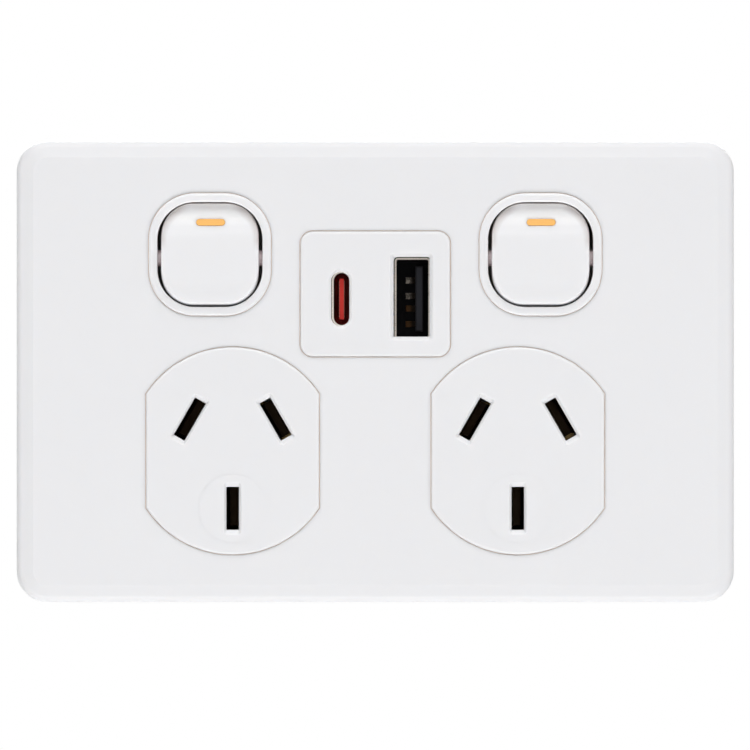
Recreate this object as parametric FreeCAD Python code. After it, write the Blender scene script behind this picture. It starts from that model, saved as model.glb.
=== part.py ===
import FreeCAD, Part
import math
import os

# Double wall socket outlet with two rocker switches and a USB charging panel.
# The origin is on the wall, midway between the two fixing holes.
# X runs to the right, Y into the wall and Z up, all in millimetres, so the face looks towards -Y.

# Cover plate, which snaps over everything
cover_width = 115.2
top_margin = 8.58
row_gap = 5.01
bottom_margin = 7.78
cover_corner_r = 5.0
cover_front = 9.6
cover_wall = 2.0
cover_side_wall = 1.8
cover_side_draft = 0.15
cover_foot_gap = 0.4
bevel_width = 2.7
bevel_drop = 0.9
shoulder_r = 1.6
seam = 0.1
overlap = 0.1

# Mounting grid, the hidden carrier that is screwed to the wall
grid_gap = 0.3
grid_web = 2.2
grid_rim_height = 3.2
grid_rim_wall = 1.6
fixing_spacing = 84.0
fixing_hole_r = 2.1
fixing_boss_r = 5.2
fixing_boss_height = 1.6
locating_rib = 1.2
locating_rib_height = 1.6
fit_gap = 0.15
window_corner_r = 0.5

# Snap tongues of the cover and the catch posts of the grid that hold them
catch_x = 45.0
catch_z = 24.0
catch_width = 8.0
catch_wall = 1.6
catch_height = 4.8
catch_sill = 0.8
tongue_width = 5.0
tongue_wall = 1.3
barb_depth = 0.8
barb_length = 1.2
pry_slot_width = 9.0
pry_slot_depth = 1.6

# Socket faces: a disc with two flats, and three pin slots
socket_x = 22.82
socket_diameter = 33.23
socket_flat_cut = 2.745
socket_stand = 0.25
socket_plate = 2.6
socket_skirt = 1.5
socket_edge_r = 0.45
pin_rise = 1.11
pin_radius = 7.92
pin_angle = 30.0
earth_drop = 10.31
slot_length = 6.9
slot_width = 2.0
slot_corner_r = 0.15
lead_in_end = 0.75
lead_in_side = 0.4
lead_in_depth = 0.6
guide_wall = 1.0
guide_depth = 2.4
earth_pad_r = 5.35
earth_pad_stand = 0.1

# Switch bezels
switch_x = 26.45
ring_size = 19.6
ring_corner_r = 7.4
ring_stand = 0.4
ring_outer_edge_r = 0.45
ring_inner_edge_r = 0.2
opening_size = 16.8
opening_corner_r = 6.0
bezel_flange = 1.2
bezel_flange_wall = 1.2

# Rockers, drawn level and then tipped to their rest position with the top pressed in
pivot_drop = 0.6
pivot_depth = 1.6
rocker_half_travel = 6.0
rocker_side_gap = 0.6
rocker_end_gap = 0.2
rocker_corner_r = 5.1
rocker_lead = 2.46
crease_top = 3.26
crease_bottom = 4.28
facet_angle = 12.0
crease_r = 4.3
rocker_back = 2.4
rocker_wall = 1.5
rocker_edge_r = 0.35
trunnion_r = 1.3
trunnion_gap = 0.1
trunnion_end_gap = 0.3
leg_r = 2.5
leg_length = 9.5
leg_bore_r = 1.5
leg_bore_start = 1.0
leg_window_gap = 0.4
stay_half = 0.6

# Indicator bars in the upper facet of the rockers
indicator_length = 4.6
indicator_height = 1.1
indicator_shift = 0.1
indicator_rise = 5.57
indicator_stand = 0.06
indicator_depth = 2.6
indicator_fit = 0.04

# Plungers and their springs, inside the rocker legs
plunger_gap = 0.1
plunger_grip = 3.5
plunger_tip_gap = 0.08
spring_gap = 0.15
spring_wire_r = 0.2
spring_turns = 5
spring_steps = 10
spring_wire_sides = 6
plunger_stem = 1.0

# See-saw contacts
see_saw_tilt = 8.0
see_saw_width = 4.4
see_saw_length = 13.0
see_saw_thick = 0.8
see_saw_depth = 5.1
see_saw_corner_r = 1.0
see_saw_pin_r = 0.75
see_saw_pin_gap = 0.1
see_saw_pin_root = 0.4
button_r = 1.3
button_height = 0.6
button_inset = 0.2
stop_gap = 0.15
stop_r = 1.6

# Bars and straps, stamped from sheet
bar_thick = 0.8
bar_depth = 7.8
supply_depth = 10.8
ear_thick = 0.6
ear_side_gap = 0.4
ear_half_height = 2.2
ear_lip = 0.9
ear_corner_r = 1.4
strap_width = 2.6
strap_ear_gap = 0.9
contact_pad_half = 2.4
foot_half_width = 2.6
foot_half_height = 2.4
neutral_bar_drop = 2.8
neutral_bar_height = 3.2
earth_bar_height = 3.6
earth_bar_margin = 0.5
supply_leg_x = 20.5
supply_leg_width = 4.0
supply_cross_rise = 0.64
supply_cross_height = 4.0
supply_pad_margin = 0.4
tab_half = 3.0
tab_margin = 0.4
bar_corner_r = 0.8

# Pin contacts, folded from spring brass
clip_length = 6.2
clip_thick = 0.5
clip_base = 4.0
clip_pinch = 1.2
clip_mouth = 3.0
clip_pinch_depth = 0.4
clip_mouth_depth = -3.4
clip_window_gap = 0.5

# Terminals
terminal_x = (-17.0, -7.5, 7.5, 17.0)
terminal_width = 7.4
terminal_length = 10.0
terminal_depth = 8.0
terminal_front = 12.6
terminal_corner_r = 0.8
terminal_drop = 3.995
tunnel_r = 2.1
spigot_r = 1.6
screw_r = 1.75
screw_hole_gap = 0.25
screw_grip_gap = 0.02
screw_tip_gap = 0.1
screw_stand = 1.3
screw_slot_width = 0.7
screw_slot_depth = 0.9

# Rear housing with its charger bay
housing_side_room = 4.12
housing_end_room = 0.38
housing_corner_r = 3.0
housing_wall = 1.6
housing_edge_r = 1.0
entry_r = 2.9
entry_chamfer = 0.6
screw_collar_r = 3.2
screw_collar_height = 1.2
partition_wall = 1.1
partition_gap = 0.6
bay_side_room = 8.8
bay_clear = 1.995
lid_room = 4.4
bay_corner_r = 1.0
lid_thick = 1.8
lid_edge_r = 0.6
lid_pillar_r = 2.0
lid_pillar_inset = 2.6
lid_tongue_rise = 5.0
lid_tongue_width = 5.0
lid_tongue_wall = 1.2
lid_tongue_reach = 3.4
lid_barb_depth = 0.9
lid_barb_length = 1.6
housing_screw_inset = 4.4
housing_screw_drop = 2.92
housing_screw_r = 1.1
housing_screw_hole_gap = 0.2
housing_screw_head_r = 2.1
housing_screw_head_height = 1.4
cross_slot_length = 2.4
cross_slot_width = 0.5
cross_slot_depth = 0.8
post_wall = 1.1
post_length = 3.0
post_cap = 0.8
housing_seat = 0.6
pillar_r = 1.5

# USB panel
panel_left_margin = 4.97
port_gap = 7.07
panel_right_margin = 3.33
panel_end_margin = 3.67
panel_corner_r = 2.0
panel_drop = 6.32
panel_stand = 0.2
panel_edge_r = 0.45
panel_wall = 2.0
panel_skirt = 1.3
port_c_drop = 0.8
port_c_side_lip = 0.13
port_c_end_lip = 0.14
port_c_chamfer = 0.45
port_a_drop = 0.45
port_a_side_room = 0.02
port_a_end_lip = 0.16
port_a_corner_r = 0.15
port_a_chamfer = 0.6

# USB connectors
shell_wall = 0.3
shell_recess = 0.75
shell_leg_width = 1.6
shell_leg_reach = 0.8
shell_leg_gap = 0.1
a_leg_rise = 3.5
c_leg_rise = 1.6
a_shell_width = 5.72
a_shell_height = 13.1
a_shell_corner_r = 0.6
a_shell_shift_x = 0.15
a_shell_shift_z = -0.3
a_tongue_x = 1.1
a_tongue_thick = 1.2
a_tongue_end_room = 1.35
a_tongue_chamfer = 0.2
a_tongue_recess = 1.2
a_base_depth = 3.0
a_contact_z = (2.65, 0.15, -1.85, -4.35)
a_contact_width = 1.0
a_contact_bulge = 1.7
a_contact_thick = 0.2
a_contact_lead = 0.5
a_contact_rise = 1.6
a_contact_run = 2.0
c_shell_width = 3.16
c_shell_height = 8.94
c_shell_shift_x = 0.22
c_tongue_thick = 0.72
c_tongue_height = 6.5
c_tongue_corner_r = 0.12
c_tongue_recess = 1.0
c_base_depth = 5.5
c_contact_pitch = 0.5
c_contact_width = 0.25
c_contact_count = 12
c_contact_thick = 0.06
c_contact_lead = 0.6
c_contact_end_gap = 0.2
insulator_gap = 0.05

# Charger boards and what stands on them
port_board_depth = 4.8
port_board_gap = 1.9
port_board_margin = 3.15
board_corner_r = 0.8
board_thick = 1.2
board_gap = 3.8
power_board_gap = 0.5
rail_width = 1.4
core_width = 13.0
core_height = 14.0
core_depth = 10.0
core_leg = 3.2
core_drop = 1.65
capacitor_core_gap = 2.3
bobbin_gap = 0.2
bobbin_lip = 1.2
bobbin_back_lip = 1.0
bobbin_foot = 1.6
bobbin_foot_width = 2.0
mains_capacitor_r = 4.0
mains_capacitor_length = 12.0
can_edge_r = 0.5
can_groove_place = 1.8
can_groove_width = 0.7
can_groove_depth = 0.3
capacitor_side_gap = 1.7
capacitor_end_gap = 1.6
output_capacitor_r = 3.0
output_capacitor_length = 9.0
output_capacitor_gap = 1.0
rectifier_size = (4.8, 2.6, 6.4)
rectifier_gap = 0.6
controller_size = (3.9, 1.6, 5.0)
controller_z = 4.0
port_chip_size = (3.0, 1.0, 4.0)
port_chip_x = -6.0
port_chip_rise = -6.5
chip_chamfer = 0.25
choke_r = 2.4
choke_waist_r = 1.5
choke_length = 5.0
choke_flange = 0.9
choke_gap = 1.8
rail_gap = 0.75
fuse_r = 1.7
fuse_length = 5.5
fuse_gap = 1.3
fuse_edge_r = 0.4
link_pin_size = 0.64
link_pin_pitch = 2.54
link_pin_count = 4
link_pin_inset = 0.8
link_pin_z = 8.6
lead_r = 0.5
lead_bend = 1.6
lead_x = 2.0
lead_board_gap = 4.1
lead_rise = 2.2
lead_hole_gap = 0.4

# Places that follow from the sizes above
cover_height = top_margin + ring_size + row_gap + socket_diameter + bottom_margin
switch_z = cover_height / 2 - top_margin - ring_size / 2
socket_z = -cover_height / 2 + bottom_margin + socket_diameter / 2
socket_flats = socket_diameter - 2 * socket_flat_cut
panel_z = switch_z - panel_drop
cover_face = -cover_front
cover_inside = cover_face + cover_wall
web_front = -grid_web
pivot_y = cover_face + pivot_depth
pivot_z = switch_z - pivot_drop
rocker_width = opening_size - 2 * rocker_side_gap
rocker_top = opening_size / 2 + pivot_drop - rocker_end_gap
rocker_bottom = opening_size / 2 - pivot_drop - rocker_end_gap
see_saw_front = see_saw_depth - see_saw_thick / 2
plunger_reach = see_saw_front - plunger_tip_gap - pivot_y
button_offset = see_saw_length / 2 - button_r - button_inset
pin_centre_z = socket_z + pin_rise
live_pin_dx = pin_radius * math.cos(math.radians(pin_angle))
live_pin_z = pin_centre_z + pin_radius * math.sin(math.radians(pin_angle))
earth_pin_z = pin_centre_z - earth_drop
neutral_bar_z = pin_centre_z - neutral_bar_drop
supply_cross_z = live_pin_z + supply_cross_rise
foot_end_x = socket_x + live_pin_dx + foot_half_width
housing_width = 2 * (foot_end_x + housing_side_room + housing_wall)
terminal_bottom = earth_pin_z - terminal_drop
terminal_z = terminal_bottom + terminal_length / 2
terminal_middle = terminal_front + terminal_depth / 2
spigot_z = terminal_bottom + terminal_length - spigot_r
tab_bottom = spigot_z - spigot_r - tab_margin
housing_top = pivot_z + button_offset + contact_pad_half + housing_end_room + housing_wall
housing_bottom = terminal_bottom - housing_wall
housing_height = housing_top - housing_bottom
housing_z = (housing_top + housing_bottom) / 2
housing_screw_x = housing_width / 2 - housing_screw_inset
housing_screw_z = switch_z - ring_size / 2 - housing_screw_drop
housing_floor = terminal_front + terminal_depth
housing_depth = housing_floor + housing_wall
bay_bottom = supply_cross_z + supply_cross_height / 2 + bay_clear
bay_height = housing_top - bay_bottom
bay_z = (housing_top + bay_bottom) / 2
bay_width = 2 * (housing_wall + mains_capacitor_r) + core_width + bay_side_room
bay_side = bay_width / 2 - housing_wall
port_board_back = port_board_depth + board_thick
power_board_depth = port_board_back + board_gap + bobbin_lip + core_depth + bobbin_foot
power_board_back = power_board_depth + board_thick
bay_depth = power_board_back + lid_room
lead_depth = power_board_depth - lead_board_gap
rail_x = bay_side - rail_width
mains_capacitor_x = mains_capacitor_r + capacitor_side_gap - bay_side
mains_capacitor_z = bay_bottom + housing_wall + mains_capacitor_r + capacitor_end_gap
output_capacitor_x = output_capacitor_r + capacitor_side_gap + output_capacitor_gap / 2 - bay_side
core_x = mains_capacitor_x + mains_capacitor_r + capacitor_core_gap + core_width / 2
core_z = bay_z - core_drop
rectifier_z = core_z + (core_height + rectifier_size[2]) / 2 + rectifier_gap
controller_x = rail_x - rail_gap - controller_size[0] / 2
choke_x = core_x - rectifier_size[0] / 2 - choke_gap - choke_r
fuse_x = rail_x - rail_gap - fuse_r
fuse_z = core_z + core_height / 2 + fuse_gap + fuse_r
link_pin_x = bay_side - port_board_gap - link_pin_inset
port_c_width = c_shell_width - 2 * port_c_side_lip
port_c_height = c_shell_height - 2 * port_c_end_lip
port_a_width = a_shell_width + 2 * port_a_side_room
port_a_height = a_shell_height - 2 * port_a_end_lip
a_tongue_height = a_shell_height - 2 * a_tongue_end_room
panel_width = panel_left_margin + port_c_width + port_gap + port_a_width + panel_right_margin
panel_height = port_a_height + 2 * panel_end_margin
port_c_x = -panel_width / 2 + panel_left_margin + port_c_width / 2
port_a_x = panel_width / 2 - panel_right_margin - port_a_width / 2
port_c_z = panel_z - port_c_drop
port_a_z = panel_z - port_a_drop
a_shell_x = port_a_x + a_shell_shift_x
a_shell_z = port_a_z + a_shell_shift_z
c_shell_x = port_c_x + c_shell_shift_x
shell_front = cover_face - panel_stand + shell_recess


def vec(x, y, z):
    return FreeCAD.Vector(x, y, z)


def box(x0, x1, y0, y1, z0, z1):
    return Part.makeBox(x1 - x0, y1 - y0, z1 - z0, vec(x0, y0, z0))


def rod(radius, y0, y1, x, z):
    return Part.makeCylinder(radius, y1 - y0, vec(x, y0, z), vec(0, 1, 0))


def cross_rod(radius, x0, x1, y, z):
    return Part.makeCylinder(radius, x1 - x0, vec(x0, y, z), vec(1, 0, 0))


def closed_wire(corners):
    """A flat closed wire through (point, radius) corners, with a tangent arc at each radius."""
    ends = []
    count = len(corners)
    for i in range(count):
        point, radius = corners[i]
        before = (corners[i - 1][0] - point).normalize()
        after = (corners[(i + 1) % count][0] - point).normalize()
        if radius <= 0:
            ends.append((point, None, point))
            continue
        half = before.getAngle(after) / 2
        middle = (before + after).normalize()
        reach = radius / math.tan(half)
        centre_distance = radius / math.sin(half)
        crown = point + middle * (centre_distance - radius)
        ends.append((point + before * reach, crown, point + after * reach))
    edges = []
    for i in range(count):
        start, crown, stop = ends[i]
        if crown is not None:
            edges.append(Part.Arc(start, crown, stop).toShape())
        following = ends[(i + 1) % count][0]
        if (following - stop).Length > 1e-6:
            edges.append(Part.LineSegment(stop, following).toShape())
    return Part.Wire(edges)


def front_wire(corners, y):
    return closed_wire([(vec(x, y, z), r) for x, z, r in corners])


def rounded_wire(width, height, radius, y, x=0.0, z=0.0):
    w = width / 2
    h = height / 2
    corners = [(x - w, z - h, radius), (x + w, z - h, radius), (x + w, z + h, radius), (x - w, z + h, radius)]
    return front_wire(corners, y)


def prism(wire, length):
    return Part.Face(wire).extrude(vec(0, length, 0))


def rounded_block(width, height, radius, y0, y1, x=0.0, z=0.0):
    return prism(rounded_wire(width, height, radius, y0, x, z), y1 - y0)


def plate(corners, y0, y1):
    return prism(front_wire(corners, y0), y1 - y0)


def side_prism(corners, x0, x1):
    """A prism along X over (y, z, radius) corners."""
    wire = closed_wire([(vec(x0, y, z), r) for y, z, r in corners])
    return Part.Face(wire).extrude(vec(x1 - x0, 0, 0))


def funnel(wire_front, wire_back):
    return Part.makeLoft([wire_front, wire_back], True, True)


def fuse_all(first, others):
    shape = first.fuse(others)
    return shape.removeSplitter()


def edges_on(shape, y, keep=None):
    found = []
    for edge in shape.Edges:
        bounds = edge.BoundBox
        if abs(bounds.YMin - y) < 1e-4 and abs(bounds.YMax - y) < 1e-4:
            if keep is None or keep(edge.CenterOfMass):
                found.append(edge)
    return found


def tipped(shape, angle, x=0.0):
    """The shape turned about the rocker pivot; a positive angle presses the bottom in."""
    turned = shape.copy()
    turned.rotate(vec(x, pivot_y, pivot_z), vec(1, 0, 0), angle)
    return turned


def flats_wire(diameter, flats, y, x, z):
    """A circle cut by two upright flats."""
    r = diameter / 2
    w = flats / 2
    h = math.sqrt(r * r - w * w)
    edges = [
        Part.Arc(vec(x - w, y, z + h), vec(x, y, z + r), vec(x + w, y, z + h)).toShape(),
        Part.LineSegment(vec(x + w, y, z + h), vec(x + w, y, z - h)).toShape(),
        Part.Arc(vec(x + w, y, z - h), vec(x, y, z - r), vec(x - w, y, z - h)).toShape(),
        Part.LineSegment(vec(x - w, y, z - h), vec(x - w, y, z + h)).toShape(),
    ]
    return Part.Wire(edges)


def flats_block(diameter, flats, y0, y1, x, z):
    return prism(flats_wire(diameter, flats, y0, x, z), y1 - y0)


def pin_places(x):
    """The (x, z, lean) of the active, neutral and earth slots of the socket centred on x."""
    return (
        (x - live_pin_dx, live_pin_z, pin_angle),
        (x + live_pin_dx, live_pin_z, -pin_angle),
        (x, earth_pin_z, 0.0),
    )


def leaned(shape, x, z, lean):
    shape.rotate(vec(x, 0, z), vec(0, 1, 0), lean)
    return shape


def make_cover_plate():
    rim = -cover_foot_gap
    bevel_back = cover_face + bevel_drop
    narrow = 2 * (bevel_width + cover_side_draft)
    front_outline = rounded_wire(
        cover_width - narrow, cover_height - narrow, cover_corner_r - bevel_width, cover_face
    )
    draft = 2 * cover_side_draft
    shoulder_outline = rounded_wire(cover_width - draft, cover_height - draft, cover_corner_r, bevel_back)
    rim_outline = rounded_wire(cover_width, cover_height, cover_corner_r, rim)
    body = fuse_all(funnel(front_outline, shoulder_outline), [funnel(shoulder_outline, rim_outline)])
    body = body.makeFillet(shoulder_r, edges_on(body, bevel_back))
    inner_width = cover_width - 2 * cover_side_wall
    inner_height = cover_height - 2 * cover_side_wall
    body = body.cut(
        rounded_block(inner_width, inner_height, cover_corner_r - cover_side_wall, cover_inside, rim)
    )
    apertures = []
    start = cover_face - 1
    stop = cover_inside + 1
    for side in (-1, 1):
        apertures.append(
            flats_block(
                socket_diameter + 2 * seam, socket_flats + 2 * seam, start, stop, side * socket_x, socket_z
            )
        )
        apertures.append(
            rounded_block(
                ring_size + 2 * seam,
                ring_size + 2 * seam,
                ring_corner_r + seam,
                start,
                stop,
                side * switch_x,
                switch_z,
            )
        )
    apertures.append(
        rounded_block(
            panel_width + 2 * seam, panel_height + 2 * seam, panel_corner_r + seam, start, stop, 0, panel_z
        )
    )
    body = body.cut(apertures)
    tongues = []
    tongue_back = web_front - fit_gap * 4
    barb_back = catch_window_back() - fit_gap
    for side in (-1, 1):
        for level in (-1, 1):
            x = side * catch_x
            inner = level * (catch_z + catch_wall / 2 + fit_gap)
            outer = inner + level * tongue_wall
            low = min(inner, outer)
            high = max(inner, outer)
            tongues.append(
                box(x - tongue_width / 2, x + tongue_width / 2, cover_inside, tongue_back, low, high)
            )
            point = inner - level * barb_depth
            corners = [(barb_back, inner, 0), (barb_back - barb_length, inner, 0), (barb_back, point, 0)]
            barb_half = tongue_width / 2 - fit_gap
            tongues.append(side_prism(corners, x - barb_half, x + barb_half))
    body = fuse_all(body, tongues)
    slot = box(
        -pry_slot_width / 2, pry_slot_width / 2, rim - pry_slot_depth, rim, -cover_height / 2,
        -cover_height / 2 + cover_side_wall,
    )
    return body.cut(slot)


def catch_window_back():
    return web_front - catch_sill


def make_mounting_grid():
    outer_width = cover_width - 2 * (cover_side_wall + grid_gap)
    outer_height = cover_height - 2 * (cover_side_wall + grid_gap)
    corner = cover_corner_r - cover_side_wall - grid_gap
    rim_front = web_front - grid_rim_height
    body = rounded_block(outer_width, outer_height, corner, web_front, 0)
    rim = rounded_block(outer_width, outer_height, corner, rim_front, web_front)
    rim = rim.cut(
        rounded_block(
            outer_width - 2 * grid_rim_wall,
            outer_height - 2 * grid_rim_wall,
            corner - grid_rim_wall,
            rim_front,
            web_front,
        )
    )
    added = [rim]
    removed = []
    rib_front = web_front - locating_rib_height
    for side in (-1, 1):
        x = side * socket_x
        outer = flats_block(
            socket_diameter - 2 * (socket_skirt + fit_gap),
            socket_flats - 2 * (socket_skirt + fit_gap),
            rib_front,
            web_front,
            x,
            socket_z,
        )
        inner = flats_block(
            socket_diameter - 2 * (socket_skirt + fit_gap + locating_rib),
            socket_flats - 2 * (socket_skirt + fit_gap + locating_rib),
            rib_front,
            web_front,
            x,
            socket_z,
        )
        added.append(outer.cut(inner))
        for px, pz, lean in pin_places(x):
            window = rounded_block(
                clip_base + 2 * clip_window_gap,
                clip_length + 2 * clip_window_gap,
                window_corner_r,
                rib_front - 1,
                1,
                px,
                pz,
            )
            removed.append(leaned(window, px, pz, lean))
        x = side * switch_x
        inside = opening_size - 2 * fit_gap
        outer = rounded_block(
            inside, inside, opening_corner_r - fit_gap, rib_front, web_front, x, switch_z
        )
        inside = inside - 2 * locating_rib
        inner = rounded_block(
            inside, inside, opening_corner_r - fit_gap - locating_rib, rib_front, web_front, x, switch_z
        )
        added.append(outer.cut(inner))
        swing = leg_length * math.sin(math.radians(rocker_half_travel))
        leg_window_height = 2 * (leg_r + swing + leg_window_gap)
        removed.append(
            rounded_block(
                2 * (leg_r + leg_window_gap), leg_window_height, leg_r, web_front - 1, 1, x, pivot_z
            )
        )
        boss_front = web_front - fixing_boss_height
        face_room = flats_block(
            socket_diameter + 2 * fit_gap,
            socket_flats + 2 * fit_gap,
            boss_front,
            web_front,
            side * socket_x,
            socket_z,
        )
        boss = rod(fixing_boss_r, boss_front, web_front, side * fixing_spacing / 2, 0)
        added.append(boss.cut(face_room))
        hole_start = boss_front - 1
        removed.append(rod(fixing_hole_r, hole_start, 1, side * fixing_spacing / 2, 0))
        boss_r = housing_screw_r + post_wall
        boss_front = web_front - post_length
        added.append(rod(boss_r, boss_front, web_front, side * housing_screw_x, housing_screw_z))
        removed.append(
            rod(
                housing_screw_r + screw_grip_gap,
                boss_front + post_cap,
                1,
                side * housing_screw_x,
                housing_screw_z,
            )
        )
        for level in (-1, 1):
            cx = side * catch_x
            post = box(
                cx - catch_width / 2,
                cx + catch_width / 2,
                web_front - catch_height,
                web_front,
                level * catch_z - catch_wall / 2,
                level * catch_z + catch_wall / 2,
            )
            window_half = tongue_width / 2 + fit_gap
            window_back = catch_window_back()
            window = box(
                cx - window_half,
                cx + window_half,
                window_back - barb_length - 2 * fit_gap,
                window_back,
                level * catch_z - catch_wall,
                level * catch_z + catch_wall,
            )
            added.append(post.cut(window))
    outer = rounded_block(
        panel_width - 2 * (panel_skirt + fit_gap),
        panel_height - 2 * (panel_skirt + fit_gap),
        window_corner_r,
        rib_front,
        web_front,
        0,
        panel_z,
    )
    port_window = rounded_block(
        panel_width - 2 * (panel_skirt + fit_gap + locating_rib),
        panel_height - 2 * (panel_skirt + fit_gap + locating_rib),
        window_corner_r,
        rib_front - 1,
        1,
        0,
        panel_z,
    )
    added.append(outer)
    removed.append(port_window)
    removed.append(
        rounded_block(
            housing_width + 2 * fit_gap,
            housing_height + 2 * fit_gap,
            housing_corner_r + fit_gap,
            -housing_seat,
            1,
            0,
            housing_z,
        )
    )
    body = fuse_all(body, added)
    return body.cut(removed)


def make_socket_face(x):
    face_y = cover_face - socket_stand
    body = flats_block(socket_diameter, socket_flats, face_y, web_front, x, socket_z)
    body = body.makeFillet(socket_edge_r, edges_on(body, face_y))
    plate_back = face_y + socket_plate
    hollow = flats_block(
        socket_diameter - 2 * socket_skirt, socket_flats - 2 * socket_skirt, plate_back, web_front, x,
        socket_z,
    )
    body = body.cut(hollow)
    guides = []
    slots = []
    pad_front = face_y - earth_pad_stand
    inner_diameter = socket_diameter - 2 * socket_edge_r
    inner_flats = socket_flats - 2 * socket_edge_r
    pad = rod(earth_pad_r, pad_front, face_y + 1, x, earth_pin_z).common(
        flats_block(inner_diameter, inner_flats, pad_front, face_y + 1, x, socket_z)
    )
    fronts = (face_y, face_y, pad_front)
    for (px, pz, lean), front in zip(pin_places(x), fronts):
        guide = rounded_block(
            slot_width + 2 * guide_wall, slot_length + 2 * guide_wall, slot_corner_r + guide_wall,
            plate_back - overlap, plate_back + guide_depth, px, pz,
        )
        guides.append(leaned(guide, px, pz, lean))
        through = rounded_block(
            slot_width, slot_length, slot_corner_r, front - 1, plate_back + guide_depth + 1, px, pz
        )
        slots.append(leaned(through, px, pz, lean))
        contact_room = rounded_block(
            clip_base + 2 * clip_window_gap, clip_length + 2 * clip_window_gap, window_corner_r,
            plate_back + guide_depth, web_front + 1, px, pz,
        )
        slots.append(leaned(contact_room, px, pz, lean))
        mouth = rounded_wire(
            slot_width + 2 * lead_in_side,
            slot_length + 2 * lead_in_end,
            slot_corner_r + lead_in_side,
            front,
            px,
            pz,
        )
        throat = rounded_wire(slot_width, slot_length, slot_corner_r, front + lead_in_depth, px, pz)
        slots.append(leaned(funnel(mouth, throat), px, pz, lean))
    body = fuse_all(body, [pad] + guides)
    return body.cut(slots)


def make_switch_bezel(x):
    ring_front = cover_face - ring_stand
    body = rounded_block(ring_size, ring_size, ring_corner_r, ring_front, web_front, x, switch_z)
    body = body.makeFillet(ring_outer_edge_r, edges_on(body, ring_front))
    flange_size = ring_size + 2 * bezel_flange
    flange = rounded_block(
        flange_size, flange_size, ring_corner_r + bezel_flange, web_front - bezel_flange_wall, web_front, x,
        switch_z,
    )
    body = fuse_all(body, [flange])
    body = body.cut(
        rounded_block(
            opening_size, opening_size, opening_corner_r, ring_front - 1, web_front + 1, x, switch_z
        )
    )
    reach = opening_size / 2 + 0.5
    inner_edges = edges_on(body, ring_front, lambda c: max(abs(c.x - x), abs(c.z - switch_z)) < reach)
    body = body.makeFillet(ring_inner_edge_r, inner_edges)
    bearing = cross_rod(
        trunnion_r + trunnion_gap, x - ring_size, x + ring_size, pivot_y, pivot_z
    )
    return body.cut(bearing)


def rocker_barrel(width, top, bottom, corner, x):
    """The space a rocker sweeps: each end is turned about the pivot, so its gap never changes."""
    corner = min(corner, min(top, bottom) - max(rocker_lead, rocker_back))
    halves = []
    for reach, up in ((top, 1), (bottom, -1)):
        w = width / 2
        corners = [
            (x - w, pivot_z, 0),
            (x - w, pivot_z + up * reach, corner),
            (x + w, pivot_z + up * reach, corner),
            (x + w, pivot_z, 0),
        ]
        half = Part.Face(front_wire(corners, pivot_y))
        half.rotate(vec(x, pivot_y, pivot_z), vec(1, 0, 0), -90)
        halves.append(half.revolve(vec(x, pivot_y, pivot_z), vec(1, 0, 0), 180))
    return fuse_all(halves[0], [halves[1]])


def rocker_profile(inset, back, x0, x1):
    """The three facets of the rocker's face, from the side, down to a flat back."""
    slope = math.tan(math.radians(facet_angle))
    face_y = pivot_y - rocker_lead + inset
    top = rocker_top + 1
    bottom = rocker_bottom + 1
    corners = [
        (back, pivot_z - bottom, 0),
        (face_y + (bottom - crease_bottom) * slope, pivot_z - bottom, 0),
        (face_y, pivot_z - crease_bottom, crease_r),
        (face_y, pivot_z + crease_top, crease_r),
        (face_y + (top - crease_top) * slope, pivot_z + top, 0),
        (back, pivot_z + top, 0),
    ]
    return side_prism(corners, x0, x1)


def indicator_block(grow, x, stand, depth):
    """A bar with round ends that stands square on the rocker's upper facet."""
    slope = math.radians(facet_angle)
    face_y = pivot_y - rocker_lead + (indicator_rise - crease_top) * math.tan(slope)
    z = pivot_z + indicator_rise
    height = indicator_height + 2 * grow
    bar = rounded_block(
        indicator_length + 2 * grow,
        height,
        height / 2,
        face_y - stand,
        face_y + depth,
        x + indicator_shift,
        z,
    )
    bar.rotate(vec(x, face_y, z), vec(1, 0, 0), -facet_angle)
    return bar


def make_rocker(x):
    w = rocker_width / 2
    back = pivot_y + rocker_back
    barrel = rocker_barrel(rocker_width, rocker_top, rocker_bottom, rocker_corner_r, x)
    body = barrel.common(rocker_profile(0, back, x - w - 1, x + w + 1))
    rim = [edge for edge in body.Edges if is_face_rim(edge)]
    body = body.makeFillet(rocker_edge_r, rim)
    inside = rocker_barrel(
        rocker_width - 2 * rocker_wall,
        rocker_top - rocker_wall,
        rocker_bottom - rocker_wall,
        rocker_corner_r - rocker_wall,
        x,
    )
    hollow = inside.common(rocker_profile(rocker_wall, back + 1, x - w, x + w))
    body = body.cut(hollow)
    reach = opening_size / 2 + (ring_size - opening_size) / 2 - trunnion_end_gap
    stubs = [
        cross_rod(trunnion_r, x - reach, x - w + rocker_wall, pivot_y, pivot_z),
        cross_rod(trunnion_r, x + w - rocker_wall, x + reach, pivot_y, pivot_z),
    ]
    leg_start = pivot_y - rocker_lead + rocker_wall / 2
    leg = rod(leg_r, leg_start, pivot_y + leg_length, x, pivot_z)
    stay = box(
        x - w + rocker_wall / 2,
        x + w - rocker_wall / 2,
        leg_start,
        back,
        pivot_z - stay_half,
        pivot_z + stay_half,
    )
    body = fuse_all(body, stubs + [leg, stay])
    body = body.cut(rod(leg_bore_r, pivot_y + leg_bore_start, pivot_y + leg_length + 1, x, pivot_z))
    body = body.cut(indicator_block(indicator_fit, x, 1, indicator_depth + indicator_fit))
    return tipped(body, -rocker_half_travel, x)


def is_face_rim(edge):
    """Whether an edge runs round the rocker's face, rather than along a crease or down its sides."""
    middle = edge.CenterOfMass
    bounds = edge.BoundBox
    if middle.y > pivot_y - rocker_lead / 3 or bounds.YLength > rocker_lead / 2:
        return False
    across = bounds.ZLength < 1e-4
    near_end = max(middle.z - pivot_z - crease_top, pivot_z - crease_bottom - middle.z) > 1.0
    return near_end or not across


def make_indicator(x):
    return tipped(indicator_block(0, x, indicator_stand, indicator_depth), -rocker_half_travel, x)


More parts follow.
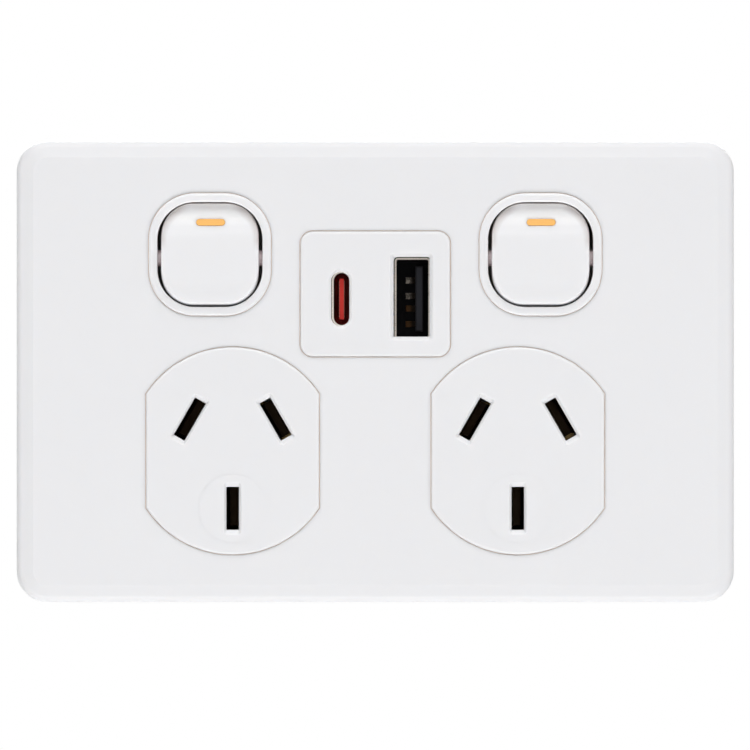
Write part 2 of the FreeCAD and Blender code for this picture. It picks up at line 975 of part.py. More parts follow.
def make_plunger(x):
    r = leg_bore_r - plunger_gap
    tail = pivot_y + leg_length - plunger_grip
    tip_centre = pivot_y + plunger_reach - r
    shank = rod(r, tail, tip_centre, x, pivot_z)
    nose = Part.makeSphere(r, vec(x, tip_centre, pivot_z))
    stem = rod(r / 2, tail - plunger_stem, tail, x, pivot_z)
    return tipped(fuse_all(shank, [nose, stem]), -rocker_half_travel, x)


def make_plunger_spring(x):
    """A coil of fine wire, as short straight runs round the helix."""
    start = pivot_y + leg_bore_start + spring_wire_r
    stop = pivot_y + leg_length - plunger_grip - spring_wire_r
    coil_r = leg_bore_r - spring_gap - spring_wire_r
    steps = int(spring_turns * spring_steps)
    points = []
    for i in range(steps + 1):
        angle = 2 * math.pi * i / spring_steps
        y = start + (stop - start) * i / steps
        points.append(vec(x + coil_r * math.cos(angle), y, pivot_z + coil_r * math.sin(angle)))
    path = Part.makePolygon(points)
    axis = (points[1] - points[0]).normalize()
    out = vec(1, 0, 0)
    across = axis.cross(out).normalize()
    out = across.cross(axis)
    section = []
    for i in range(spring_wire_sides + 1):
        angle = 2 * math.pi * i / spring_wire_sides
        offset = out * math.cos(angle) + across * math.sin(angle)
        section.append(points[0] + offset * spring_wire_r)
    spring = path.makePipeShell([Part.makePolygon(section)], True, True, 1)
    return tipped(spring, -rocker_half_travel, x)


def make_see_saw(x):
    y0 = see_saw_front
    y1 = see_saw_front + see_saw_thick
    body = rounded_block(see_saw_width, see_saw_length, see_saw_corner_r, y0, y1, x, pivot_z)
    reach = see_saw_width / 2 + ear_side_gap + ear_thick + ear_side_gap
    root = see_saw_width / 2 - see_saw_pin_root
    pins = [
        cross_rod(see_saw_pin_r, x - reach, x - root, see_saw_depth, pivot_z),
        cross_rod(see_saw_pin_r, x + root, x + reach, see_saw_depth, pivot_z),
    ]
    button = rod(button_r, y1 - overlap, y1 + button_height, x, pivot_z + button_offset)
    body = fuse_all(body, pins + [button])
    body.rotate(vec(x, see_saw_depth, pivot_z), vec(1, 0, 0), see_saw_tilt)
    return body


def make_load_strap(x, contact_x):
    """Joins the fixed contact behind a switch to the active pin contact of the socket below."""
    half_pad = contact_pad_half
    pad_z = pivot_z + button_offset
    ear_reach = see_saw_width / 2 + ear_side_gap + ear_thick
    side = -1 if x > 0 else 1
    near = x + side * (ear_reach + strap_ear_gap)
    far = near + side * strap_width
    pad_far = x - side * half_pad
    foot_top = live_pin_z + foot_half_height
    foot_bottom = live_pin_z - foot_half_height
    foot_end = contact_x - foot_half_width
    r = bar_corner_r
    if side * (foot_end - far) > 0:
        corners = [
            (pad_far, pad_z + half_pad, r),
            (far, pad_z + half_pad, r),
            (far, foot_top, r),
            (foot_end, foot_top, r),
            (foot_end, foot_bottom, r),
            (near, foot_bottom, r),
            (near, pad_z - half_pad, r),
            (pad_far, pad_z - half_pad, r),
        ]
    else:
        corners = [
            (pad_far, pad_z + half_pad, r),
            (far, pad_z + half_pad, r),
            (far, foot_bottom, r),
            (foot_end, foot_bottom, r),
            (foot_end, foot_top, r),
            (near, foot_top, r),
            (near, pad_z - half_pad, r),
            (pad_far, pad_z - half_pad, r),
        ]
    strap = plate(corners, bar_depth, bar_depth + bar_thick)
    button = rod(button_r, bar_depth - button_height, bar_depth + overlap, x, pad_z)
    return fuse_all(strap, [button])


def make_supply_bar():
    """Carries the supply to both see-saw pivots, round the charger bay."""
    y0 = supply_depth
    y1 = supply_depth + bar_thick
    half = supply_leg_width / 2
    cross_top = supply_cross_z + supply_cross_height / 2
    cross_bottom = supply_cross_z - supply_cross_height / 2
    ear_out = see_saw_width / 2 + ear_side_gap + ear_thick
    top = pivot_z + ear_half_height + supply_pad_margin
    pad_bottom = pivot_z - ear_half_height - supply_pad_margin
    pad_end = switch_x + ear_out
    tab_x = terminal_x[1]
    r = bar_corner_r
    inner = supply_leg_x - half
    outer = supply_leg_x + half
    corners = [
        (-pad_end, top, r),
        (-inner, top, r),
        (-inner, cross_top, r),
        (inner, cross_top, r),
        (inner, top, r),
        (pad_end, top, r),
        (pad_end, pad_bottom, r),
        (outer, pad_bottom, r),
        (outer, cross_bottom, r),
        (tab_x + tab_half, cross_bottom, r),
        (tab_x + tab_half, tab_bottom, r),
        (tab_x - tab_half, tab_bottom, r),
        (tab_x - tab_half, cross_bottom, r),
        (-outer, cross_bottom, r),
        (-outer, pad_bottom, r),
        (-pad_end, pad_bottom, r),
    ]
    bar = plate(corners, y0, y1)
    ears = []
    holes = []
    ear_front = see_saw_depth - see_saw_pin_r - see_saw_pin_gap - ear_lip
    for side in (-1, 1):
        for edge in (-1, 1):
            near = side * switch_x + edge * (see_saw_width / 2 + ear_side_gap)
            far = near + edge * ear_thick
            corners = [
                (y1, pivot_z - ear_half_height, 0),
                (ear_front, pivot_z - ear_half_height, ear_corner_r),
                (ear_front, pivot_z + ear_half_height, ear_corner_r),
                (y1, pivot_z + ear_half_height, 0),
            ]
            ears.append(side_prism(corners, min(near, far), max(near, far)))
            holes.append(
                cross_rod(
                    see_saw_pin_r + see_saw_pin_gap, min(near, far) - overlap, max(near, far) + overlap,
                    see_saw_depth, pivot_z,
                )
            )
    return fuse_all(bar, ears).cut(holes)


def make_neutral_bar():
    left = -socket_x + live_pin_dx
    right = socket_x + live_pin_dx
    half = foot_half_width
    top = live_pin_z + foot_half_height
    bar_top = neutral_bar_z + neutral_bar_height / 2
    bar_bottom = neutral_bar_z - neutral_bar_height / 2
    tab_x = terminal_x[2]
    r = bar_corner_r
    corners = [
        (left - half, top, r),
        (left + half, top, r),
        (left + half, bar_top, r),
        (right - half, bar_top, r),
        (right - half, top, r),
        (right + half, top, r),
        (right + half, bar_bottom, r),
        (tab_x + tab_half, bar_bottom, r),
        (tab_x + tab_half, tab_bottom, r),
        (tab_x - tab_half, tab_bottom, r),
        (tab_x - tab_half, bar_bottom, r),
        (left - half, bar_bottom, r),
    ]
    return plate(corners, bar_depth, bar_depth + bar_thick)


def make_earth_bar():
    return rounded_block(
        2 * (socket_x + earth_bar_margin) + clip_base,
        earth_bar_height,
        bar_corner_r,
        bar_depth,
        bar_depth + bar_thick,
        0,
        earth_pin_z,
    )


def make_pin_contact(place):
    """Two sprung leaves on a flat base, pinched in where they grip the pin."""
    x, z, lean = place
    t = clip_thick
    base = clip_base / 2
    pinch = clip_pinch / 2
    mouth = clip_mouth / 2
    back = bar_depth
    corners = [
        (-base, back, t),
        (-pinch - t, clip_pinch_depth, 2 * t),
        (-mouth - t, clip_mouth_depth, 0),
        (-mouth, clip_mouth_depth, 0),
        (-pinch, clip_pinch_depth, t),
        (-base + t, back - t, 0),
        (base - t, back - t, 0),
        (pinch, clip_pinch_depth, t),
        (mouth, clip_mouth_depth, 0),
        (mouth + t, clip_mouth_depth, 0),
        (pinch + t, clip_pinch_depth, 2 * t),
        (base, back, t),
    ]
    bottom = z - clip_length / 2
    wire = closed_wire([(vec(x + v, y, bottom), r) for v, y, r in corners])
    clip = Part.Face(wire).extrude(vec(0, 0, clip_length))
    return leaned(clip, x, z, lean)


def spigot_front(name):
    if name == "active":
        return supply_depth + bar_thick
    return bar_depth + bar_thick


def make_terminal(name, x):
    """A brass block with a wire tunnel up from below and a clamping screw from behind."""
    block = rounded_block(
        terminal_width, terminal_length, terminal_corner_r, terminal_front, housing_floor, x, terminal_z
    )
    if name != "loop":
        place = earth_pin_z if name == "earth" else spigot_z
        spigot = rod(spigot_r, spigot_front(name), terminal_front + overlap, x, place)
        block = fuse_all(block, [spigot])
    tunnel = Part.makeCylinder(
        tunnel_r, terminal_length, vec(x, terminal_middle, terminal_bottom), vec(0, 0, 1)
    )
    thread = rod(screw_r, terminal_middle, housing_floor, x, terminal_z)
    return block.cut([tunnel, thread])


def make_terminal_screws():
    screws = []
    tip = terminal_middle + tunnel_r + screw_tip_gap
    head = housing_floor + screw_stand
    for x in terminal_x:
        screw = rod(screw_r - screw_grip_gap, tip, head, x, terminal_z)
        slot = box(
            x - screw_r, x + screw_r, head - screw_slot_depth, head, terminal_z - screw_slot_width / 2,
            terminal_z + screw_slot_width / 2,
        )
        screws.append(screw.cut(slot))
    return Part.makeCompound(screws)


def make_rear_housing():
    inner_width = housing_width - 2 * housing_wall
    inner_height = housing_height - 2 * housing_wall
    inner_corner = housing_corner_r - housing_wall
    body = rounded_block(
        housing_width, housing_height, housing_corner_r, -housing_seat, housing_depth, 0, housing_z
    )
    body = body.makeFillet(housing_edge_r, edges_on(body, housing_depth))
    bay_skin = rounded_block(bay_width, bay_height, bay_corner_r, -housing_seat, bay_depth, 0, bay_z)
    body = fuse_all(body, [bay_skin])
    hollow = rounded_block(
        inner_width, inner_height, inner_corner, -housing_seat, housing_floor, 0, housing_z
    )
    body = body.cut(hollow.cut(bay_skin))
    bay_hollow = rounded_block(
        2 * bay_side, bay_height - 2 * housing_wall, bay_corner_r / 2, -housing_seat, bay_depth, 0, bay_z
    )
    body = body.cut(bay_hollow)
    added = []
    removed = []
    post_r = housing_screw_r + post_wall
    for side in (-1, 1):
        x = side * housing_screw_x
        added.append(rod(post_r, -housing_seat, housing_floor, x, housing_screw_z))
        shaft_r = housing_screw_r + housing_screw_hole_gap
        head_r = housing_screw_head_r + housing_screw_hole_gap
        removed.append(rod(shaft_r, -1, housing_depth + 1, x, housing_screw_z))
        head_seat = housing_depth - housing_screw_head_height
        removed.append(rod(head_r, head_seat, housing_depth + 1, x, housing_screw_z))
        stop_z = pivot_z - see_saw_length / 2 + stop_r / 2
        added.append(rod(stop_r, stop_face(), housing_floor, side * switch_x, stop_z))
        pad_z = pivot_z + button_offset
        added.append(rod(pillar_r, bar_depth + bar_thick, housing_floor, side * switch_x, pad_z))
        added.append(rod(pillar_r, bar_depth + bar_thick, housing_floor, side * socket_x, earth_pin_z))
        supply_x = side * supply_leg_x
        added.append(rod(pillar_r, supply_depth + bar_thick, housing_floor, supply_x, pivot_z))
        outer_pin_x = side * (socket_x + live_pin_dx)
        inner_pin_x = side * (socket_x - live_pin_dx)
        added.append(rod(pillar_r, bar_depth + bar_thick, housing_floor, outer_pin_x, live_pin_z))
        added.append(rod(pillar_r, supply_depth + bar_thick, housing_floor, inner_pin_x, supply_cross_z))
        rail = box(
            min(side * rail_x, side * bay_side),
            max(side * rail_x, side * bay_side),
            port_board_back,
            power_board_depth,
            bay_bottom + housing_wall - overlap,
            housing_top - housing_wall + overlap,
        )
        added.append(rail)
    for x in terminal_x:
        collar_back = housing_depth + screw_collar_height
        added.append(rod(screw_collar_r, housing_depth - overlap, collar_back, x, terminal_z))
    for x, following in zip(terminal_x, terminal_x[1:]):
        middle = (x + following) / 2
        added.append(
            box(
                middle - partition_wall / 2,
                middle + partition_wall / 2,
                supply_depth + bar_thick + partition_gap,
                housing_floor + overlap,
                terminal_bottom - overlap,
                terminal_bottom + terminal_length,
            )
        )
    body = fuse_all(body, added)
    for x in terminal_x:
        entry = vec(x, terminal_middle, housing_bottom)
        removed.append(Part.makeCylinder(entry_r, housing_wall + 1, entry, vec(0, 0, 1)))
        removed.append(
            Part.makeCone(entry_r + entry_chamfer, entry_r, entry_chamfer, entry, vec(0, 0, 1))
        )
        hole_end = housing_depth + screw_collar_height + 1
        removed.append(rod(screw_r + screw_hole_gap, housing_floor - 1, hole_end, x, terminal_z))
    for x in (-lead_x, lead_x):
        removed.append(
            Part.makeCylinder(
                lead_r + lead_hole_gap, housing_wall + 2, vec(x, lead_depth, bay_bottom - 1), vec(0, 0, 1)
            )
        )
    barb_front = bay_depth - lid_tongue_reach
    for side, z in lid_tongue_places():
        near = side * (bay_side - overlap)
        far = side * (bay_width / 2 + 1)
        half = lid_tongue_width / 2 + fit_gap
        removed.append(
            box(
                min(near, far), max(near, far), barb_front - fit_gap, barb_front + lid_barb_length + fit_gap,
                z - half, z + half,
            )
        )
    return body.cut(removed)


def stop_face():
    """How far in the resting end of a see-saw reaches, and the gap to its stop."""
    tilt = math.radians(see_saw_tilt)
    end = see_saw_depth + see_saw_length / 2 * math.sin(tilt) + see_saw_thick / 2 * math.cos(tilt)
    return end + stop_gap


def lid_tongue_places():
    places = []
    for side in (-1, 1):
        for level in (-1, 1):
            places.append((side, bay_z + level * lid_tongue_rise))
    return places


def make_bay_lid():
    """Four pillars hold the power board down; four barbed tongues snap into windows in the bay's walls."""
    lid = rounded_block(bay_width, bay_height, bay_corner_r, bay_depth, bay_depth + lid_thick, 0, bay_z)
    lid = lid.makeFillet(lid_edge_r, edges_on(lid, bay_depth + lid_thick))
    added = []
    pillar_reach = bay_side - lid_pillar_inset
    pillar_rise = bay_height / 2 - housing_wall - lid_pillar_inset
    for side in (-1, 1):
        for level in (-1, 1):
            added.append(
                rod(
                    lid_pillar_r, power_board_back, bay_depth + overlap, side * pillar_reach,
                    bay_z + level * pillar_rise,
                )
            )
    barb_front = bay_depth - lid_tongue_reach
    barb_back = barb_front + lid_barb_length
    for side, z in lid_tongue_places():
        bottom = z - lid_tongue_width / 2
        outer = side * (bay_side - fit_gap)
        inner = outer - side * lid_tongue_wall
        point = outer + side * lid_barb_depth
        corners = [
            (inner, bay_depth + overlap),
            (inner, barb_front),
            (outer, barb_front),
            (point, barb_back),
            (outer, barb_back),
            (outer, bay_depth + overlap),
        ]
        wire = closed_wire([(vec(x, y, bottom), 0) for x, y in corners])
        added.append(Part.Face(wire).extrude(vec(0, 0, lid_tongue_width)))
    return fuse_all(lid, added)


def make_housing_screws():
    screws = []
    for side in (-1, 1):
        x = side * housing_screw_x
        head_seat = housing_depth - housing_screw_head_height
        shank = rod(housing_screw_r, web_front - post_length / 2, head_seat + overlap, x, housing_screw_z)
        head = rod(housing_screw_head_r, head_seat, housing_depth, x, housing_screw_z)
        slots = []
        for width, height in ((cross_slot_length, cross_slot_width), (cross_slot_width, cross_slot_length)):
            slots.append(
                box(
                    x - width / 2,
                    x + width / 2,
                    housing_depth - cross_slot_depth,
                    housing_depth,
                    housing_screw_z - height / 2,
                    housing_screw_z + height / 2,
                )
            )
        screws.append(fuse_all(shank, [head]).cut(slots))
    return Part.makeCompound(screws)


def make_usb_panel():
    face_y = cover_face - panel_stand
    body = rounded_block(panel_width, panel_height, panel_corner_r, face_y, web_front, 0, panel_z)
    body = body.makeFillet(panel_edge_r, edges_on(body, face_y))
    hollow = rounded_block(
        panel_width - 2 * panel_skirt, panel_height - 2 * panel_skirt, panel_corner_r - panel_skirt,
        face_y + panel_wall, web_front, 0, panel_z,
    )
    body = body.cut(hollow)
    cuts = []
    c_radius = port_c_width / 2
    a_radius = port_a_corner_r
    cuts.append(
        rounded_block(port_c_width, port_c_height, c_radius, face_y - 1, shell_front, port_c_x, port_c_z)
    )
    cuts.append(
        funnel(
            rounded_wire(
                port_c_width + 2 * port_c_chamfer, port_c_height + 2 * port_c_chamfer,
                c_radius + port_c_chamfer, face_y, port_c_x, port_c_z,
            ),
            rounded_wire(port_c_width, port_c_height, c_radius, face_y + port_c_chamfer, port_c_x, port_c_z),
        )
    )
    cuts.append(
        rounded_block(port_a_width, port_a_height, a_radius, face_y - 1, shell_front, port_a_x, port_a_z)
    )
    cuts.append(
        funnel(
            rounded_wire(
                port_a_width + 2 * port_a_chamfer, port_a_height + 2 * port_a_chamfer,
                a_radius + port_a_chamfer, face_y, port_a_x, port_a_z,
            ),
            rounded_wire(port_a_width, port_a_height, a_radius, face_y + port_a_chamfer, port_a_x, port_a_z),
        )
    )
    cuts.append(
        rounded_block(
            c_shell_width + 2 * fit_gap, c_shell_height + 2 * fit_gap, c_shell_width / 2 + fit_gap,
            shell_front, face_y + panel_wall + 1, c_shell_x, port_c_z,
        )
    )
    cuts.append(
        rounded_block(
            a_shell_width + 2 * fit_gap, a_shell_height + 2 * fit_gap, a_shell_corner_r + fit_gap,
            shell_front, face_y + panel_wall + 1, a_shell_x, a_shell_z,
        )
    )
    return body.cut(cuts)


def shell_legs(x, z, width, rise, grow):
    """Four legs that run on from a shell's long sides through the port board."""
    legs = []
    for side in (-1, 1):
        outer = x + side * (width / 2 + grow)
        inner = outer - side * (shell_wall + 2 * grow)
        for level in (-1, 1):
            middle = z + level * rise
            half = shell_leg_width / 2 + grow
            legs.append(
                box(
                    min(outer, inner), max(outer, inner), port_board_depth - overlap - grow,
                    port_board_back + shell_leg_reach + grow, middle - half, middle + half,
                )
            )
    return legs


def make_usb_a_shell():
    outer = rounded_block(
        a_shell_width, a_shell_height, a_shell_corner_r, shell_front, port_board_depth, a_shell_x, a_shell_z
    )
    inner = rounded_block(
        a_shell_width - 2 * shell_wall, a_shell_height - 2 * shell_wall, a_shell_corner_r - shell_wall,
        shell_front, port_board_depth, a_shell_x, a_shell_z,
    )
    return fuse_all(outer.cut(inner), shell_legs(a_shell_x, a_shell_z, a_shell_width, a_leg_rise, 0))


def make_usb_a_insulator():
    inset = 2 * (shell_wall + insulator_gap)
    base_front = port_board_depth - a_base_depth
    base = rounded_block(
        a_shell_width - inset, a_shell_height - inset, a_shell_corner_r - shell_wall, base_front,
        port_board_depth, a_shell_x, a_shell_z,
    )
    middle = a_shell_x + a_tongue_x
    tongue = box(
        middle - a_tongue_thick / 2,
        middle + a_tongue_thick / 2,
        shell_front + a_tongue_recess,
        base_front + overlap,
        a_shell_z - a_tongue_height / 2,
        a_shell_z + a_tongue_height / 2,
    )
    tongue = tongue.makeChamfer(a_tongue_chamfer, edges_on(tongue, shell_front + a_tongue_recess))
    return fuse_all(base, [tongue])


def make_usb_a_contacts():
    """Four sprung strips that lie along the tongue and bulge out near its mouth."""
    springs = []
    face_x = a_shell_x + a_tongue_x - a_tongue_thick / 2
    t = a_contact_thick
    front = shell_front + a_tongue_recess + a_contact_lead
    crown = front + a_contact_rise
    base_front = port_board_depth - a_base_depth
    run = base_front - a_contact_run
    bulge = a_contact_bulge
    corners = [
        (face_x, front, 0),
        (face_x - bulge, crown, 2.5 * t),
        (face_x - t, run, 5 * t),
        (face_x - t, base_front, 0),
        (face_x, base_front, 0),
        (face_x, run, 5 * t),
        (face_x - bulge + t, crown + t / 2, 1.5 * t),
        (face_x, front + 2.5 * t, 0),
    ]
    for dz in a_contact_z:
        bottom = port_a_z + dz - a_contact_width / 2
        wire = closed_wire([(vec(x, y, bottom), r) for x, y, r in corners])
        springs.append(Part.Face(wire).extrude(vec(0, 0, a_contact_width)))
    return Part.makeCompound(springs)


def make_usb_c_shell():
    outer = rounded_block(
        c_shell_width, c_shell_height, c_shell_width / 2, shell_front, port_board_depth, c_shell_x, port_c_z
    )
    inner_width = c_shell_width - 2 * shell_wall
    inner = rounded_block(
        inner_width, c_shell_height - 2 * shell_wall, inner_width / 2, shell_front, port_board_depth,
        c_shell_x, port_c_z,
    )
    return fuse_all(outer.cut(inner), shell_legs(c_shell_x, port_c_z, c_shell_width, c_leg_rise, 0))


def make_usb_c_tongue():
    inset = 2 * (shell_wall + insulator_gap)
    base_front = port_board_depth - c_base_depth
    base_width = c_shell_width - inset
    base = rounded_block(
        base_width, c_shell_height - inset, base_width / 2, base_front, port_board_depth, c_shell_x, port_c_z
    )
    tongue = rounded_block(
        c_tongue_thick, c_tongue_height, c_tongue_corner_r, shell_front + c_tongue_recess,
        base_front + overlap, c_shell_x, port_c_z,
    )
    return fuse_all(base, [tongue])


def make_usb_c_contacts():
    strips = []
    front = shell_front + c_tongue_recess + c_contact_lead
    back = port_board_depth - c_base_depth - c_contact_end_gap
    for side in (-1, 1):
        near = c_shell_x + side * c_tongue_thick / 2
        far = near + side * c_contact_thick
        for i in range(c_contact_count):
            z = port_c_z + (i - (c_contact_count - 1) / 2) * c_contact_pitch
            strips.append(
                box(
                    min(near, far), max(near, far), front, back, z - c_contact_width / 2,
                    z + c_contact_width / 2,
                )
            )
    return Part.makeCompound(strips)


def make_port_board():
    width = 2 * (bay_side - port_board_gap)
    height = a_shell_height + 2 * port_board_margin
    board = rounded_block(width, height, board_corner_r, port_board_depth, port_board_back, 0, panel_z)
    holes = shell_legs(a_shell_x, a_shell_z, a_shell_width, a_leg_rise, shell_leg_gap)
    holes += shell_legs(c_shell_x, port_c_z, c_shell_width, c_leg_rise, shell_leg_gap)
    return board.cut(holes)


def make_power_board():
    width = 2 * (bay_side - power_board_gap)
    height = bay_height - 2 * (housing_wall + power_board_gap)
    return rounded_block(width, height, board_corner_r, power_board_depth, power_board_back, 0, bay_z)


def make_transformer_core():
    """Two E-shaped ferrites that close on each other through the bobbin."""
    back = power_board_depth - bobbin_foot
    front = back - core_depth
    w = core_width / 2
    h = core_height / 2
    frame = box(core_x - w, core_x + w, front, back, core_z - h, core_z + h)
    leg = core_leg / 2
    windows = []
    for side in (-1, 1):
        near = core_x + side * leg
        far = core_x + side * (w - leg)
        windows.append(
            box(min(near, far), max(near, far), front - 1, back + 1, core_z - h + leg, core_z + h - leg)
        )
    return frame.cut(windows)


def make_bobbin():
    """The wound spool round the core's middle leg, and the feet that stand on the board."""
    back = power_board_depth - bobbin_foot
    front = back - core_depth
    leg = core_leg / 2
    gap = bobbin_gap
    reach = core_width / 2 - leg - gap
    h = core_height / 2 - leg - gap
    spool = box(
        core_x - reach, core_x + reach, front - bobbin_lip, back + bobbin_back_lip, core_z - h, core_z + h
    )
    bore = box(
        core_x - leg - gap, core_x + leg + gap, front - gap, back + gap, core_z - h - 1, core_z + h + 1
    )
    spool = spool.cut(bore)
    feet = []
    for side in (-1, 1):
        outer = core_z + side * h
        inner = outer - side * bobbin_foot_width
        foot_front = back + bobbin_back_lip - overlap
        feet.append(
            box(
                core_x - reach, core_x + reach, foot_front, power_board_depth, min(inner, outer),
                max(inner, outer),
            )
        )
    return fuse_all(spool, feet)


def standing_capacitor(radius, length, x, z):
    can = rod(radius, power_board_depth - length, power_board_depth, x, z)
    can = can.makeFillet(can_edge_r, edges_on(can, power_board_depth - length))
    groove_start = power_board_depth - can_groove_place
    groove_stop = groove_start + can_groove_width
    groove = rod(radius + 1, groove_start, groove_stop, x, z).cut(
        rod(radius - can_groove_depth, groove_start, groove_stop, x, z)
    )
    return can.cut(groove)


def make_output_capacitors():
    low = mains_capacitor_z + mains_capacitor_r + output_capacitor_gap + output_capacitor_r
    high = low + 2 * output_capacitor_r + output_capacitor_gap
    return Part.makeCompound(
        [
            standing_capacitor(output_capacitor_r, output_capacitor_length, output_capacitor_x, z)
            for z in (low, high)
        ]
    )


def board_chip(size, x, z):
    """A chip on the front of the power board."""
    width, depth, height = size
    front = power_board_depth - depth
    body = box(x - width / 2, x + width / 2, front, power_board_depth, z - height / 2, z + height / 2)
    return body.makeChamfer(chip_chamfer, edges_on(body, front))


def make_port_chip():
    """The chip on the back of the port board, which shares the charge between the two ports."""
    width, depth, height = port_chip_size
    back = port_board_back + depth
    z = panel_z + port_chip_rise
    body = box(
        port_chip_x - width / 2, port_chip_x + width / 2, port_board_back, back, z - height / 2,
        z + height / 2,
    )
    return body.makeChamfer(chip_chamfer, edges_on(body, back))


def make_choke():
    """A small ferrite drum whose waist holds the winding."""
    front = power_board_depth - choke_length
    waist = rod(choke_waist_r, front + choke_flange - overlap, power_board_depth - choke_flange + overlap,
                choke_x, rectifier_z)
    flanges = [
        rod(choke_r, front, front + choke_flange, choke_x, rectifier_z),
        rod(choke_r, power_board_depth - choke_flange, power_board_depth, choke_x, rectifier_z),
    ]
    return fuse_all(waist, flanges)


def make_fuse():
    body = rod(fuse_r, power_board_depth - fuse_length, power_board_depth, fuse_x, fuse_z)
    return body.makeFillet(fuse_edge_r, edges_on(body, power_board_depth - fuse_length))


def make_link_pins():
    pins = []
    half = link_pin_size / 2
    for i in range(link_pin_count):
        z = link_pin_z + i * link_pin_pitch
        pins.append(
            box(
                link_pin_x - half, link_pin_x + half, port_board_back, power_board_depth, z - half, z + half
            )
        )
    return Part.makeCompound(pins)


def bent_wire(points, radius, bend):
    """A round wire along straight runs joined by tangent arcs."""
    pieces = []
    start = points[0]
    for i in range(1, len(points) - 1):
        point = points[i]
        back = (points[i - 1] - point).normalize()
        ahead = (points[i + 1] - point).normalize()
        half = back.getAngle(ahead) / 2
        reach = bend / math.tan(half)
        stop = point + back * reach
        centre = point + (back + ahead).normalize() * (bend / math.sin(half))
        pieces.append(Part.makeCylinder(radius, (stop - start).Length, start, back * -1))
        section = Part.Face(Part.Wire(Part.makeCircle(radius, stop, back * -1)))
        turn = ahead.cross(back)
        pieces.append(section.revolve(centre, turn, 180 - math.degrees(2 * half)))
        start = point + ahead * reach
    last = points[-1]
    pieces.append(Part.makeCylinder(radius, (last - start).Length, start, last - start))
    return fuse_all(pieces[0], pieces[1:])


def make_supply_leads():
    """The two wires that bring mains from the bars into the charger bay."""
    board_z = bay_bottom + housing_wall + lead_rise
    leads = []
    for x, z, front in (
        (-lead_x, supply_cross_z, supply_depth + bar_thick),
        (lead_x, neutral_bar_z, bar_depth + bar_thick),
    ):
        points = [
            vec(x, front, z),
            vec(x, lead_depth, z),
            vec(x, lead_depth, board_z),
            vec(x, power_board_depth, board_z),
        ]
        leads.append(bent_wire(points, lead_r, lead_bend))
    return Part.makeCompound(leads)


def save(name, shape):
    shape.exportStep("parts/" + name + ".step")


os.makedirs("parts", exist_ok=True)
save("cover_plate", make_cover_plate())
save("mounting_grid", make_mounting_grid())
save("usb_panel", make_usb_panel())
for side_name, side in (("left", -1), ("right", 1)):
    face_x = side * socket_x
    rocker_x = side * switch_x
    save(side_name + "_socket_face", make_socket_face(face_x))
    save(side_name + "_switch_bezel", make_switch_bezel(rocker_x))
    save(side_name + "_rocker", make_rocker(rocker_x))
    save(side_name + "_indicator", make_indicator(rocker_x))
    save(side_name + "_plunger", make_plunger(rocker_x))
    save(side_name + "_plunger_spring", make_plunger_spring(rocker_x))
    save(side_name + "_see_saw", make_see_saw(rocker_x))
    save(side_name + "_load_strap", make_load_strap(rocker_x, face_x - live_pin_dx))
    for pin_name, place in zip(("active", "neutral", "earth"), pin_places(face_x)):
        save(side_name + "_" + pin_name + "_contact", make_pin_contact(place))
save("supply_bar", make_supply_bar())
save("neutral_bar", make_neutral_bar())
save("earth_bar", make_earth_bar())
for terminal_name, x in zip(("loop", "active", "neutral", "earth"), terminal_x):
    save(terminal_name + "_terminal", make_terminal(terminal_name, x))
save("terminal_screws", make_terminal_screws())
save("rear_housing", make_rear_housing())
save("bay_lid", make_bay_lid())
save("housing_screws", make_housing_screws())
save("usb_a_shell", make_usb_a_shell())
save("usb_a_insulator", make_usb_a_insulator())
save("usb_a_contacts", make_usb_a_contacts())
save("usb_c_shell", make_usb_c_shell())
save("usb_c_tongue", make_usb_c_tongue())
save("usb_c_contacts", make_usb_c_contacts())
save("port_board", make_port_board())
save("power_board", make_power_board())
save("transformer_core", make_transformer_core())
save("transformer_bobbin", make_bobbin())
save(
    "mains_capacitor",
    standing_capacitor(mains_capacitor_r, mains_capacitor_length, mains_capacitor_x, mains_capacitor_z),
)
save("output_capacitors", make_output_capacitors())
save("rectifier", board_chip(rectifier_size, core_x, rectifier_z))
save("controller_chip", board_chip(controller_size, controller_x, controller_z))
save("port_chip", make_port_chip())
save("choke", make_choke())
save("fuse", make_fuse())
save("board_link_pins", make_link_pins())
save("usb_supply_leads", make_supply_leads())
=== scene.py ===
import math

import bmesh
import bpy
from mathutils import Matrix, Vector


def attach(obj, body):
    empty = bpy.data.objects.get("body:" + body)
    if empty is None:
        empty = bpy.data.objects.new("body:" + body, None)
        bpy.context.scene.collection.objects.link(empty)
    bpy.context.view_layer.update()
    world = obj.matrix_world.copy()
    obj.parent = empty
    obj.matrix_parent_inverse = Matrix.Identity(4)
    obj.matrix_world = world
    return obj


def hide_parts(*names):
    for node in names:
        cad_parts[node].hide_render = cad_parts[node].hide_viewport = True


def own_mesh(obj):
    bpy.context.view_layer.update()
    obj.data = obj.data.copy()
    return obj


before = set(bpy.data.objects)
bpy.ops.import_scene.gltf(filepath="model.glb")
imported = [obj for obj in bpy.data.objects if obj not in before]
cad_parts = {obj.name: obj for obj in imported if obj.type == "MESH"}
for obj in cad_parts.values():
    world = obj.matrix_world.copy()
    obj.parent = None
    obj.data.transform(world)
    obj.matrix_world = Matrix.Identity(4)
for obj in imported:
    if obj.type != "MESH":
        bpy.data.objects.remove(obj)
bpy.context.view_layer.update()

# Mounting grid: the hidden carrier behind the cover, screwed to the wall.
# Injection moulded in a plain light grey plastic, with the fine matt skin of a spark-eroded tool.

noise_detail = 2.0
noise_low = 0.3
noise_high = 0.7
tone_patch = 0.018
gloss_patch = 0.006
gloss_swing = 0.03


def new_material(name):
    """A fresh node material: its tree, its Principled shader and its Object coordinates."""
    material = bpy.data.materials.new(name)
    material.use_nodes = True
    tree = material.node_tree
    shader = tree.nodes["Principled BSDF"]
    place = tree.nodes.new("ShaderNodeTexCoord").outputs["Object"]
    return material, tree, shader, place


